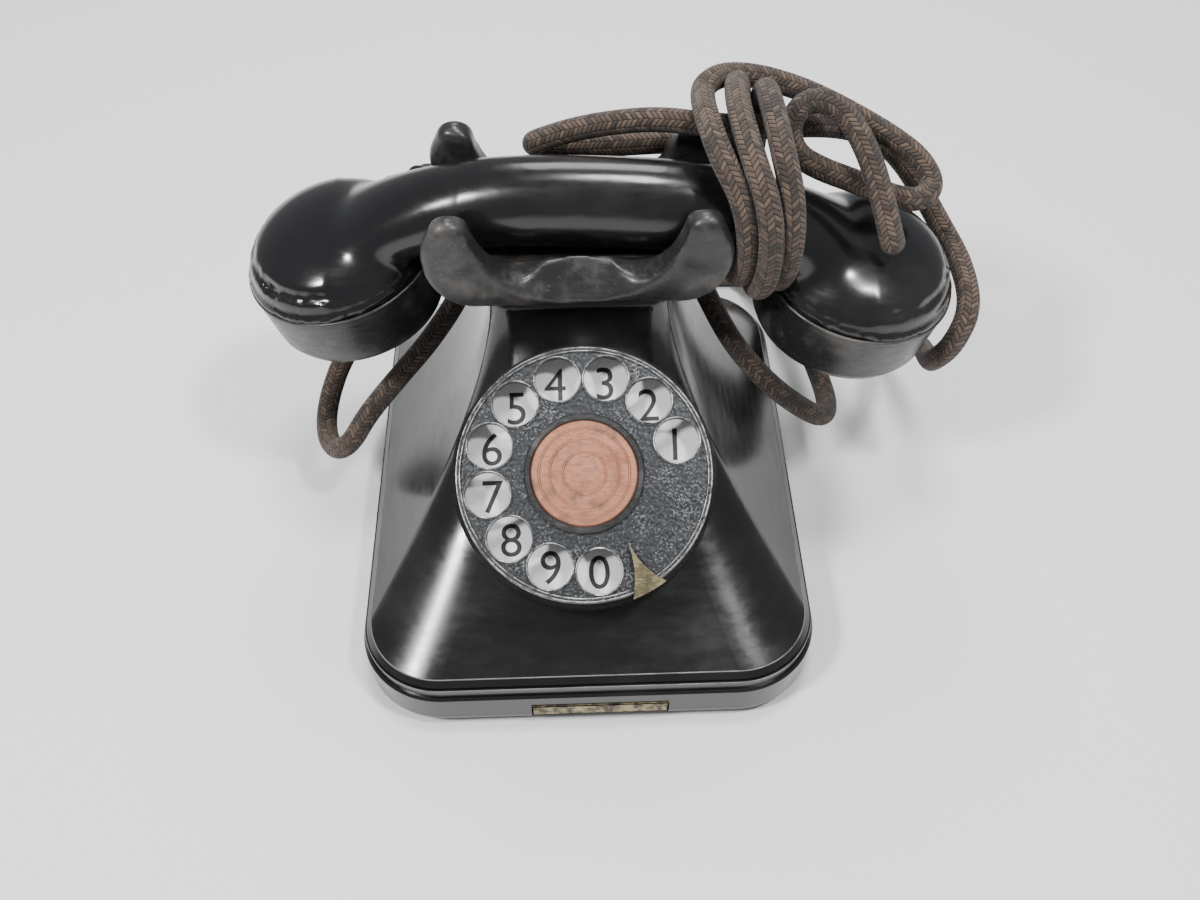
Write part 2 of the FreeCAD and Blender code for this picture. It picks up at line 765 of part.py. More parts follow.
# ---------------------------------------------------------------- handset

handset_placement = FreeCAD.Placement(point(handset_x, handset_y, handset_z), FreeCAD.Rotation(Z, handset_yaw))
handset_placement = handset_placement.multiply(FreeCAD.Placement(ORIGIN, FreeCAD.Rotation(X, handset_roll)))


def cup_placement(side):
    turn = FreeCAD.Rotation(Y, side * cap_tilt)
    return FreeCAD.Placement(point(side * cup_spacing / 2, 0, 0), turn)


def on_handset(shape):
    return moved(shape, handset_placement)


def handle_section(x, extra):
    """Oval section of the handle, lower and fuller towards the cups."""
    share = abs(x) / (cup_spacing / 2)
    height = handle_rise - handle_drop * share ** 2.8
    half_height = handle_half_height - handle_thinning * share ** 2 + extra
    half_width = handle_half_width + handle_widening * share ** 2.6 + extra
    angles = [2 * math.pi * index / 12 for index in range(12)]
    oval = Part.BSplineCurve()
    oval.interpolate([point(x, half_width * math.cos(a), height + half_height * math.sin(a)) for a in angles],
                     PeriodicFlag=True)
    return Part.Wire(oval.toShape())


def handset_outer(extra):
    """Outer skin of the handset without its caps, grown by a margin where other pieces must keep clear."""
    end = cup_spacing / 2
    stations = [-end, -0.86 * end, -0.68 * end, -0.4 * end, 0, 0.4 * end, 0.68 * end, 0.86 * end, end]
    skin = Part.makeLoft([handle_section(x, extra) for x in stations], True, False)
    for side in (-1, 1):
        skin = skin.fuse(moved(cup_dome(extra), cup_placement(side)))
    return skin


def cup_dome(extra):
    """Domed back of one cup with the bead above its seam."""
    neck = cap_radius - dome_shoulder + extra
    spring_line = 3.5
    rise = dome_height + extra - spring_line
    angles = [math.pi / 2 * (1 - index / 6) for index in range(7)]
    arc = [point(neck * math.cos(a), 0, spring_line + rise * math.sin(a)) for a in angles]
    bead = [arc[-1], point(neck, 0, 2.4), point(cap_radius + extra, 0, 2.0), point(cap_radius + extra, 0, 0),
            ORIGIN, arc[0]]
    edges = [curve_through(arc), Part.makePolygon(bead)]
    profile = Part.Face(Part.Wire([edges[0]] + edges[1].Edges))
    return profile.revolve(ORIGIN, Z, 360)


cup_bore = cap_radius - 4.0
spigot_radius = cap_radius - 2.4
spigot_length = 5.0


def handset_handle():
    body = handset_outer(0)
    for side in (-1, 1):
        place = cup_placement(side)
        spigot = cylinder(spigot_radius, 0, 0, -spigot_length, 0)
        body = body.fuse(moved(spigot, place))
    for side in (-1, 1):
        bore = cylinder(cup_bore, 0, 0, -spigot_length - 1, 9.0).fuse(cylinder(cup_bore - 8, 0, 0, 9.0, 13.0))
        body = body.cut(moved(bore, cup_placement(side)))
    body = body.cut(moved(bush_blank(), cup_placement(-1)))
    return on_handset(body.removeSplitter())


def cap(hole_rings):
    """Screwed cap: inside it clears the spigot, and sound holes go through its face."""
    low = -cap_height
    inner = spigot_radius + 0.1
    profile = face_from([point(inner, 0, 0), point(cap_radius - 0.5, 0, 0), point(cap_radius, 0, -0.5),
                         point(cap_radius, 0, -2.0), point(cap_radius - cap_taper, 0, low + 4.0),
                         point(cap_radius - cap_taper - 1.4, 0, low + 1.2),
                         point(cap_radius - cap_taper - 4.6, 0, low),
                         point(0, 0, low + 1.6), point(0, 0, low + 4.0), point(cup_bore, 0, low + 3.6),
                         point(inner - 1, 0, low + 6), point(inner, 0, -spigot_length - 0.5)])
    body = profile.revolve(ORIGIN, Z, 360)
    for count, radius in hole_rings:
        for index in range(count):
            angle = 2 * math.pi * index / count
            body = body.cut(cylinder(1.3, radius * math.cos(angle), radius * math.sin(angle), low - 1, 0))
    return body


def transmitter_cap():
    return on_handset(moved(cap([(1, 0), (6, 6), (12, 12)]), cup_placement(-1)))


def receiver_cap():
    return on_handset(moved(cap([(1, 0), (5, 6.5)]), cup_placement(1)))


def capsule():
    radius = cup_bore - 0.6
    low = -cap_height + 4.4
    body = cylinder(radius, 0, 0, low, 5.0).cut(cylinder(radius - 3, 0, 0, low - 1, low + 1.2))
    return fuse([body, cylinder(9, 0, 0, 5.0, 8.0)])


def transmitter_capsule():
    return on_handset(moved(capsule(), cup_placement(-1)))


def receiver_capsule():
    grooves = [ring(r + 1, r, 0, 0, 4.4, 6) for r in (12, 17, 22)]
    body = capsule()
    for groove in grooves:
        body = body.cut(groove)
    return on_handset(moved(body, cup_placement(1)))


bush_direction = point(0.42, 0.72, -0.42)
bush_length = 13.0
bush_start = point(18.0, 16.5, 9.5)


def bush_blank():
    """Tapered cord bush standing out of the back of the transmitter cup, beside the handle."""
    return Part.makeCone(5.2, cord_radius + 0.9, bush_length, bush_start, bush_direction)


def handset_cord_bush():
    bush = bush_blank().cut(cylinder(cup_bore, 0, 0, -20, 9.0)).cut(cylinder(cup_bore - 8, 0, 0, 8.0, 13.0))
    return on_handset(moved(bush, cup_placement(-1)))


def along_bush(distance):
    """Point on the bush's axis, measured from its inner end."""
    place = handset_placement.multiply(cup_placement(-1))
    return place.multVec(bush_start + bush_direction * (distance / bush_direction.Length))


# ---------------------------------------------------------------- cords

def cord_tube(name, route, radius):
    """Round tube along straight runs joined by tangent arcs, each as large as its two runs allow."""
    edges = []
    start = route[0]
    radii = []
    for before, corner, after in zip(route, route[1:], route[2:]):
        back, ahead = before - corner, after - corner
        reach = 0.45 * min(back.Length, ahead.Length)
        back.normalize()
        ahead.normalize()
        half_turn = (math.pi - back.getAngle(ahead)) / 2
        bend = reach / math.tan(half_turn)
        inward = back + ahead
        inward.normalize()
        middle = corner + inward * (bend / math.cos(half_turn) - bend)
        edges.append(Part.LineSegment(start, corner + back * reach).toShape())
        edges.append(Part.Arc(corner + back * reach, middle, corner + ahead * reach).toShape())
        start = corner + ahead * reach
        radii.append(bend)
    edges.append(Part.LineSegment(start, route[-1]).toShape())
    path = Part.Wire(edges)
    direction = route[1] - route[0]
    profile = Part.Wire(Part.Circle(route[0], direction, radius).toShape())
    tube = path.makePipeShell([profile], True, True)
    expected = math.pi * radius ** 2 * path.Length
    print(name, "length %.0f" % path.Length, "volume ratio %.3f" % (tube.Volume / expected),
          "radii", " ".join("%.0f" % r for r in radii))
    return tube


def cord_entry(x):
    return Part.makeCylinder(gland_radius - 1.2, 12, point(x, case_depth / 2 - 8, gland_z), Y)


def gland(x):
    outside = case_depth / 2
    collar = Part.makeCylinder(gland_radius, 2.5, point(x, outside, gland_z), Y)
    sleeve = Part.makeCone(gland_radius - 0.5, cord_radius + 0.7, gland_length - 2.5,
                           point(x, outside + 2.5, gland_z), Y)
    stem = Part.makeCylinder(gland_radius - 1.2, wall + 1, point(x, outside - wall - 1, gland_z), Y)
    return fuse([collar, sleeve, stem])


def handset_cord():
    """From the transmitter cup: a loop at the left, round the back of the neck, a loop at the right.

    It then goes behind the case, where the rest of its length lies in a turn on the table."""
    rear = case_depth / 2 + gland_length
    route = [along_bush(bush_length), along_bush(bush_length + 9.5), point(-42.5, 69.5, 93.5), point(-47.5, 74.5, 80),
             point(-58.5, 70, 65), point(-74, 56, 51.5), point(-87, 39.5, 41.5), point(-92.5, 25, 33.5),
             point(-93, 13.5, 28), point(-88.2, 4.5, 29), point(-81.3, 1.5, 36.5), point(-75, 7, 45),
             point(-64, 15.5, 54), point(-51, 23, 65.5), point(-38.5, 34.5, 79), point(-34, 49, 86.5),
             point(-20, 59, 88.5), point(1, 63, 87), point(22, 59, 86.5), point(37, 46, 84),
             point(43, 29, 77.5), point(52, 14, 67), point(65, 6, 55), point(77.5, 4, 44.5),
             point(86, 8.5, 35), point(90, 20, 29.5), point(89, 37, 28), point(86, 62, 24), point(83, 88, 18.5),
             point(76, 110, 14.5), point(60, 122.5, 12), point(41, 127, 6.5), point(21, 125.5, 3.8),
             point(2, 128, 3.8), point(-12, 140, 3.8), point(-11, 157, 3.8), point(4, 166, 3.8),
             point(19, 158, 5), point(22, 141, 9), point(17.5, 124, 12),
             point(handset_gland_x, rear + 13, gland_z), point(handset_gland_x, rear, gland_z)]
    return cord_tube("handset_cord", route, cord_radius)


lead_joint = point(117.75, 42.5, 103.5)


def line_cord_lead():
    """From the rear gland, over the table and up round the right of the receiver cup."""
    rear = case_depth / 2 + gland_length
    route = [point(line_gland_x, rear, gland_z), point(line_gland_x, rear + 9, gland_z), point(47, 115, 5.5), point(64, 118, 3.9),
             point(84, 114, 3.9), point(103, 101, 8), point(117, 82, 17), point(124.5, 60, 28),
             point(126, 38, 40), point(122, 18, 53), point(118.5, 6, 66), point(121, 0.5, 78.5),
             point(126.5, 8, 88), point(126.5, 24, 93), point(121.5, 39, 99), lead_joint]
    return cord_tube("line_cord_lead", route, cord_radius)


def line_cord_rise():
    """The next stretch of the same cord, which goes up to the hank and is lifted with the handset."""
    route = [lead_joint, point(114, 46, 108), point(107, 42, 117.5), point(103, 33, 124.5)]
    return cord_tube("line_cord_rise", route, cord_radius)


def fuller(value, power):
    return math.copysign(abs(value) ** power, value)


def oval_at(x, y, z, half_y, half_z, power=1.0):
    """Closed oval in a plane across X; a power under one squares it up."""
    angles = [2 * math.pi * (index + 0.5) / 16 for index in range(16)]
    oval = Part.BSplineCurve()
    oval.interpolate([point(x, y + half_y * fuller(math.cos(a), power), z + half_z * fuller(math.sin(a), power))
                      for a in angles], PeriodicFlag=True)
    return Part.Wire(oval.toShape())


def line_cord_hank():
    """Outer shape of the folded cord that lies behind and above the handle."""
    sections = [(-12, 46, 128.5, 3.5, 3.5), (0, 45.5, 131, 6, 4.5), (22, 43, 137.5, 7.5, 5.5),
                (46, 40, 143, 8.5, 5.8), (68, 44, 138.5, 8, 7), (90, 37, 134, 8.5, 6), (102, 25.5, 130, 10, 4.8),
                (108.5, 23.5, 129.5, 5, 3)]
    hank = Part.makeLoft([oval_at(*section) for section in sections], True, False)
    horn_room = box(horn_x - 9, horn_x + 9, cradle_y + 12, cradle_y + 33, 0, horn_tip + 1)
    return hank.cut(horn_room).cut(on_handset(handset_outer(handset_play)))


def line_cord_wraps(hank):
    """Outer shape of the turns of cord round the handle and the hank, beside the cradle."""
    left, right = horn_x + 2.0, 63.0
    blank = Part.Face(oval_at(left, 26, 127.5, 32.5, 31, 0.8)).extrude(point(right - left, 0, 0))
    hole = Part.Face(oval_at(left - 1, 26, 127.5, 24.5, 23, 0.8)).extrude(point(right - left + 2, 0, 0))
    blank = blank.cut(hole)
    cradle_room = box(left - 1, cradle_half_width + 1, -60, 110, 0, horn_tip + 1.5)
    cup_room = moved(cylinder(cap_radius + handset_play, 0, 0, -cap_height, 3), cup_placement(1))
    blank = blank.cut(on_handset(handset_outer(handset_play))).cut(on_handset(cup_room)).cut(cradle_room)
    solids = sorted(blank.cut(hank).Solids, key=lambda solid: solid.Volume)
    return solids[-1]


def line_cord_tail(hank, wraps):
    """The last stretch: a fold beside the turns, then over the receiver cup to its bound end."""
    route = [point(88.5, 25, 128.5), point(78.5, 20, 131), point(69.5, 18.5, 136.5), point(65, 24, 143.5),
             point(69.5, 31.5, 147.5), point(79.5, 33, 147), point(86.5, 25, 142.5), point(90, 13.5, 133),
             point(93.5, 2, 120.5)]
    return cord_tube("line_cord_tail", route, cord_radius).cut(hank).cut(wraps)


# ---------------------------------------------------------------- build

hank_solid = line_cord_hank()
wraps_solid = line_cord_wraps(hank_solid)

pieces = {
    "base_tray": base_tray(), "rubber_feet": rubber_feet(), "case_screws": case_screws(),
    "base_plate": base_plate(), "label_plate": label_blank(), "case_shell": case_shell(),
    "dial_cup": on_dial(dial_cup()), "number_plate": on_dial(number_plate()),
    "finger_stop": on_dial(finger_stop()), "dial_frame": on_dial(dial_frame()),
    "dial_frame_screws": on_dial(dial_frame_screws()), "dial_spring_drum": on_dial(dial_spring_drum()),
    "impulse_contacts": on_dial(impulse_contacts()), "governor_cup": on_dial(governor_cup()),
    "finger_wheel": on_dial(finger_wheel()), "dial_badge": on_dial(dial_badge()),
    "badge_ring": on_dial(badge_ring()), "dial_shaft": on_dial(dial_shaft()),
    "dial_main_gear": on_dial(dial_main_gear()), "pulse_cam": on_dial(pulse_cam()),
    "governor_rotor": on_dial(governor_rotor()), "governor_weights": on_dial(governor_weights()),
    "plunger_bush": plunger_bush(), "cradle_spring": cradle_spring(),
    "hook_switch_frame": hook_switch_frame(), "hook_pivot_pin": hook_pivot_pin(),
    "hook_switch_contacts": hook_switch_contacts(), "hook_lever": hook_lever(),
    "cradle": cradle(), "cradle_plunger": cradle_plunger(), "cradle_screws": cradle_screws(),
    "ringer_frame": ringer_frame(), "ringer_coils": ringer_coils(), "ringer_cores": ringer_cores(),
    "gong_left": gong(-1), "gong_right": gong(1), "gong_screws": gong_screws(), "clapper": clapper(),
    "induction_coil": induction_coil(), "condenser": condenser(), "terminal_block": terminal_block(),
    "terminal_screws": terminal_screws(),
    "handset_cord_gland": gland(handset_gland_x), "line_cord_gland": gland(line_gland_x),
    "handset_handle": handset_handle(), "transmitter_cap": transmitter_cap(), "receiver_cap": receiver_cap(),
    "transmitter_capsule": transmitter_capsule(), "receiver_capsule": receiver_capsule(),
    "handset_cord_bush": handset_cord_bush(),
    "handset_cord": handset_cord(), "line_cord_lead": line_cord_lead(), "line_cord_rise": line_cord_rise(),
    "line_cord_hank": hank_solid,
    "line_cord_wraps": wraps_solid, "line_cord_tail": line_cord_tail(hank_solid, wraps_solid),
}

frame_shift = point(-handset_x, 0, 0)
os.makedirs("parts", exist_ok=True)
for node, shape in pieces.items():
    shape = shape.copy()
    shape.translate(frame_shift)
    shape.exportStep("parts/" + node + ".step")
    print(node, "solids", len(shape.Solids), "valid", shape.isValid(), "volume %.0f" % shape.Volume)
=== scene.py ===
import json
import math

import bmesh
import bpy
from mathutils import Matrix, Vector


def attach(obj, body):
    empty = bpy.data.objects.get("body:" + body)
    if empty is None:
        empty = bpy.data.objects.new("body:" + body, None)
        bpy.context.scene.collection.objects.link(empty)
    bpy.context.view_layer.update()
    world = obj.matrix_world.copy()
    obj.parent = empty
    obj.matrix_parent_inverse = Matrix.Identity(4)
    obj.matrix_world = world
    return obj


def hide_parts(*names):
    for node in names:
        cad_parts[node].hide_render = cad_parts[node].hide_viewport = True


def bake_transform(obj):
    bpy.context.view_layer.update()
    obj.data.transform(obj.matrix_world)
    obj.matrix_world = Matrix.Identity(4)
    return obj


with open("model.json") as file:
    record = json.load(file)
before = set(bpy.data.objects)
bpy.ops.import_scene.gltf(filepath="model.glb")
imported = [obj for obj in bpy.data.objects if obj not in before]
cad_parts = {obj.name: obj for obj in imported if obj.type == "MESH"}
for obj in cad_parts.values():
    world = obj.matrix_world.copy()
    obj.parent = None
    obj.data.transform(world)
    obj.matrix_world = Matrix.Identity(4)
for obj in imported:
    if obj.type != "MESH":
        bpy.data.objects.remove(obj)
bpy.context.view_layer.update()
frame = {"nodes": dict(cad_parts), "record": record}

# A rotary desk telephone: moulded case and handset, braided cords. Metres, +Z up, the dial faces -Y.
mm = 0.001
nodes = frame["nodes"]

caseX = -6.1 * mm
cradleY = 22.0 * mm

view = {"place": (-0.0062, -0.2691, 0.3597), "pitch": 50.7, "yaw": 1.26, "roll": -0.69, "lens": 36.0}


def turned(degrees, axis):
    return Matrix.Rotation(math.radians(degrees), 4, axis)


def placeCamera():
    camera = bpy.data.objects.new("camera", bpy.data.cameras.new("camera"))
    camera.data.lens = view["lens"]
    camera.data.sensor_width = 36.0
    camera.data.clip_start = 0.01
    bpy.context.scene.collection.objects.link(camera)
    aim = turned(-view["yaw"], "Z") @ turned(90 - view["pitch"], "X") @ turned(view["roll"], "Z")
    camera.matrix_world = Matrix.Translation(view["place"]) @ aim
    bpy.context.scene.camera = camera


placeCamera()
print("camera placed")


# Small helpers for meshes

def pieceFrom(bm, name, finish, place=None):
    if place is not None:
        bmesh.ops.transform(bm, matrix=place, verts=bm.verts)
    mesh = bpy.data.meshes.new(name)
    bm.to_mesh(mesh)
    bm.free()
    mesh.shade_smooth()
    mesh.set_sharp_from_angle(angle=math.radians(38))
    piece = bpy.data.objects.new(name, mesh)
    bpy.context.scene.collection.objects.link(piece)
    mesh.materials.append(finishes[finish])
    return piece


def lathe(name, profile, finish, place, steps=96, closed=True):
    # profile is a list of (radius, height) in millimetres, spun round the local Z axis
    bm = bmesh.new()
    points = [bm.verts.new((radius * mm, 0, height * mm)) for radius, height in profile]
    lines = [bm.edges.new(pair) for pair in zip(points, points[1:])]
    if closed:
        lines.append(bm.edges.new((points[-1], points[0])))
    bmesh.ops.spin(bm, geom=points + lines, cent=(0, 0, 0), axis=(0, 0, 1), angle=math.tau, steps=steps,
                   use_merge=True)
    bmesh.ops.remove_doubles(bm, verts=bm.verts, dist=1e-6)
    bmesh.ops.recalc_face_normals(bm, faces=bm.faces)
    return pieceFrom(bm, name, finish, place)


def beadProfile(radius, height, size, sides=10):
    return [(radius + size * math.cos(math.tau * i / sides), height + size * math.sin(math.tau * i / sides))
            for i in range(sides)]


# Materials. Every look is worked out on Object coordinates, or on a cord's own UV map

def addNode(material, kind, feeds=None, **settings):
    node = material.node_tree.nodes.new(kind)
    for key, value in settings.items():
        setattr(node, key, value)
    for key, value in (feeds or {}).items():
        if isinstance(value, bpy.types.NodeSocket):
            material.node_tree.links.new(value, node.inputs[key])
        else:
            node.inputs[key].default_value = value
    return node


def maths(material, operation, first, second=0.0):
    return addNode(material, "ShaderNodeMath", {0: first, 1: second}, operation=operation).outputs[0]


def plus(material, first, second):
    return maths(material, "ADD", first, second)


def times(material, first, second):
    return maths(material, "MULTIPLY", first, second)


def ripple(material, value, rate):
    return maths(material, "ABSOLUTE", maths(material, "SINE", times(material, value, rate)))


def spread(material, value, low, high, toLow=0.0, toHigh=1.0):
    feeds = {"Value": value, "From Min": low, "From Max": high, "To Min": toLow, "To Max": toHigh}
    return addNode(material, "ShaderNodeMapRange", feeds, interpolation_type="SMOOTHSTEP").outputs["Result"]


def blendColours(material, share, first, second):
    node = addNode(material, "ShaderNodeMix", data_type="RGBA")
    for socket, value in ((node.inputs[0], share), (node.inputs[6], first), (node.inputs[7], second)):
        if isinstance(value, bpy.types.NodeSocket):
            material.node_tree.links.new(value, socket)
        else:
            socket.default_value = value if isinstance(value, float) else (*value, 1.0)
    return node.outputs[2]


def objectPlace(material, stretch=(1, 1, 1), turn=(0, 0, 0)):
    place = addNode(material, "ShaderNodeTexCoord").outputs["Object"]
    feeds = {"Vector": place, "Scale": stretch, "Rotation": [math.radians(a) for a in turn]}
    return addNode(material, "ShaderNodeMapping", feeds).outputs["Vector"]


def noise(material, place, scale, detail=4.0, rough=0.55):
    feeds = {"Vector": place, "Scale": scale, "Detail": detail, "Roughness": rough}
    return addNode(material, "ShaderNodeTexNoise", feeds).outputs["Fac"]


def cells(material, place, scale):
    node = addNode(material, "ShaderNodeTexVoronoi", feature="SMOOTH_F1")
    material.node_tree.links.new(place, node.inputs["Vector"])
    node.inputs["Scale"].default_value = scale
    return node.outputs["Distance"]


def newMaterial(name):
    material = bpy.data.materials.new(name)
    material.use_nodes = True
    return material, material.node_tree.nodes["Principled BSDF"]


def connect(material, shader, key, value):
    if isinstance(value, bpy.types.NodeSocket):
        material.node_tree.links.new(value, shader.inputs[key])
    else:
        shader.inputs[key].default_value = value


def bumpFrom(material, shader, height, depth):
    bump = addNode(material, "ShaderNodeBump", {"Height": height, "Distance": depth * mm, "Strength": 1.0})
    material.node_tree.links.new(bump.outputs["Normal"], shader.inputs["Normal"])


looks = {
    # base and worn colour, share of wear, lowest and highest roughness, how metallic, clear coat,
    # noise scales of the clouds and the grain, depth of the relief in millimetres, share of light specks
    "bakelite": {"base": (0.0060, 0.0060, 0.0066), "worn": (0.036, 0.030, 0.026), "wear": 0.30,
                 "rough": (0.16, 0.27), "metal": 0.0, "coat": 0.2, "cloud": 26, "grain": 900,
                 "relief": 0.0035, "specks": 0.12},
    "bakelite_worn": {"base": (0.018, 0.0175, 0.018), "worn": (0.125, 0.115, 0.103), "wear": 0.60,
                      "rough": (0.26, 0.55), "metal": 0.0, "coat": 0.05, "cloud": 60, "grain": 1300,
                      "relief": 0.030, "specks": 0.45},
    "enamel": {"base": (0.93, 0.93, 0.92), "worn": (0.60, 0.58, 0.53), "wear": 0.16, "rough": (0.28, 0.40),
               "metal": 0.0, "coat": 0.1, "cloud": 70, "grain": 700, "relief": 0.004, "specks": 0.05},
    "copper": {"base": (0.46, 0.20, 0.125), "worn": (0.13, 0.075, 0.052), "wear": 0.85,
               "rough": (0.26, 0.55), "metal": 0.55, "coat": 0.15, "cloud": 130, "grain": 1500,
               "relief": 0.012, "specks": 0.35},
    "brass": {"base": (0.36, 0.31, 0.19), "worn": (0.16, 0.13, 0.08), "wear": 0.55, "rough": (0.22, 0.45),
              "metal": 1.0, "coat": 0.0, "cloud": 120, "grain": 1500, "relief": 0.006, "specks": 0.15},
    "nickel": {"base": (0.56, 0.55, 0.52), "worn": (0.27, 0.25, 0.22), "wear": 0.35, "rough": (0.16, 0.38),
               "metal": 1.0, "coat": 0.0, "cloud": 140, "grain": 1800, "relief": 0.004, "specks": 0.12},
    "steel": {"base": (0.38, 0.38, 0.39), "worn": (0.17, 0.13, 0.10), "wear": 0.35, "rough": (0.28, 0.50),
              "metal": 1.0, "coat": 0.0, "cloud": 90, "grain": 1400, "relief": 0.008, "specks": 0.2},
    "cast_iron": {"base": (0.10, 0.10, 0.105), "worn": (0.20, 0.12, 0.07), "wear": 0.30,
                  "rough": (0.45, 0.7), "metal": 0.7, "coat": 0.0, "cloud": 80, "grain": 700,
                  "relief": 0.08, "specks": 0.3},
    "card": {"base": (0.30, 0.17, 0.08), "worn": (0.42, 0.28, 0.15), "wear": 0.5, "rough": (0.55, 0.8),
             "metal": 0.0, "coat": 0.0, "cloud": 150, "grain": 1600, "relief": 0.03, "specks": 0.3},
    "rubber": {"base": (0.020, 0.019, 0.018), "worn": (0.07, 0.065, 0.06), "wear": 0.4,
               "rough": (0.55, 0.75), "metal": 0.0, "coat": 0.0, "cloud": 120, "grain": 1500,
               "relief": 0.03, "specks": 0.3},
}


def mouldedFinish(name, look):
    material, shader = newMaterial(name)
    place = objectPlace(material)
    cloud = noise(material, place, look["cloud"], 6.0, 0.6)
    grain = noise(material, place, look["grain"], 3.0, 0.6)
    smear = noise(material, objectPlace(material, (1, 1, 7), (20, 35, 50)), look["cloud"] * 3, 5.0, 0.7)
    wear = spread(material, cloud, 0.47, 0.70, 0.0, look["wear"])
    colour = blendColours(material, wear, look["base"], look["worn"])
    specks = spread(material, grain, 0.64, 0.74, 0.0, look["specks"])
    colour = blendColours(material, specks, colour, [min(1.0, 1.6 * c + 0.03) for c in look["worn"]])
    connect(material, shader, "Base Color", colour)
    low, high = look["rough"]
    patchy = plus(material, cloud, smear)
    connect(material, shader, "Roughness", spread(material, patchy, 0.75, 1.30, low, high))
    connect(material, shader, "Metallic", look["metal"])
    connect(material, shader, "Coat Weight", look["coat"])
    connect(material, shader, "Coat Roughness", 0.12)
    bumpFrom(material, shader, plus(material, grain, times(material, smear, 0.2)), look["relief"])
    return material


def crinkleFinish():
    # wheel paint: fine hammered grey-black with worn bright spots
    material, shader = newMaterial("crinklePaint")
    place = objectPlace(material)
    lumps = cells(material, place, 900.0)
    cloud = noise(material, place, 120.0, 6.0, 0.65)
    flecks = noise(material, place, 1500.0, 2.0)
    rubbed = plus(material, times(material, cloud, 0.55), flecks)
    worn = spread(material, rubbed, 0.80, 1.02, 0.0, 0.9)
    colour = blendColours(material, worn, (0.019, 0.021, 0.024), (0.17, 0.175, 0.18))
    connect(material, shader, "Base Color", colour)
    connect(material, shader, "Metallic", spread(material, cloud, 0.45, 0.75, 0.15, 0.45))
    connect(material, shader, "Roughness", spread(material, flecks, 0.3, 0.7, 0.30, 0.52))
    bumpFrom(material, shader, lumps, 0.14)
    return material


def wornMetalFinish():
    # bare metal that shows through along rubbed edges
    material, shader = newMaterial("rubbedMetal")
    place = objectPlace(material)
    cloud = noise(material, place, 260.0, 5.0, 0.7)
    fine = noise(material, place, 1800.0, 2.0)
    dulled = spread(material, cloud, 0.40, 0.62)
    colour = blendColours(material, dulled, (0.46, 0.46, 0.44), (0.09, 0.09, 0.088))
    connect(material, shader, "Base Color", colour)
    connect(material, shader, "Metallic", 0.9)
    connect(material, shader, "Roughness", spread(material, fine, 0.3, 0.7, 0.24, 0.5))
    bumpFrom(material, shader, fine, 0.01)
    return material


wireSpacing = 0.35 * mm


def windingFinish():
    # enamelled wire wound round the vertical coils
    material, shader = newMaterial("woundWire")
    height = addNode(material, "ShaderNodeSeparateXYZ", {0: objectPlace(material)}).outputs[2]
    wires = ripple(material, height, math.pi / wireSpacing)
    cloud = noise(material, objectPlace(material), 180.0)
    colour = blendColours(material, cloud, (0.36, 0.13, 0.045), (0.62, 0.27, 0.10))
    # painted shade: the grooves between the turns of wire are darkened
    colour = blendColours(material, spread(material, wires, 0.0, 0.35), (0.05, 0.02, 0.01), colour)
    connect(material, shader, "Base Color", colour)
    connect(material, shader, "Metallic", 0.7)
    connect(material, shader, "Roughness", spread(material, cloud, 0.3, 0.7, 0.25, 0.45))
    bumpFrom(material, shader, wires, 0.12)
    return material


def giltFinish():
    # label plate: dull gilt with most of the print rubbed away
    material, shader = newMaterial("wornGilt")
    place = objectPlace(material)
    patches = noise(material, place, 330.0, 5.0, 0.7)
    streaks = noise(material, objectPlace(material, (0.35, 1, 3)), 900.0, 4.0)
    bare = spread(material, patches, 0.38, 0.62)
    colour = blendColours(material, bare, (0.34, 0.28, 0.15), (0.020, 0.018, 0.016))
    bright = spread(material, streaks, 0.56, 0.76, 0.0, 0.6)
    colour = blendColours(material, bright, colour, (0.55, 0.48, 0.33))
    connect(material, shader, "Base Color", colour)
    connect(material, shader, "Metallic", 0.55)
    connect(material, shader, "Roughness", spread(material, patches, 0.3, 0.7, 0.35, 0.6))
    bumpFrom(material, shader, streaks, 0.03)
    return material


# scatter turns a yarn's number into its own shade
braid = {"columns": 10, "pitch": 1.55, "slant": 1.0, "relief": 0.30, "columnShift": 6.05,
         "scatter": (12.9898, 43.7)}


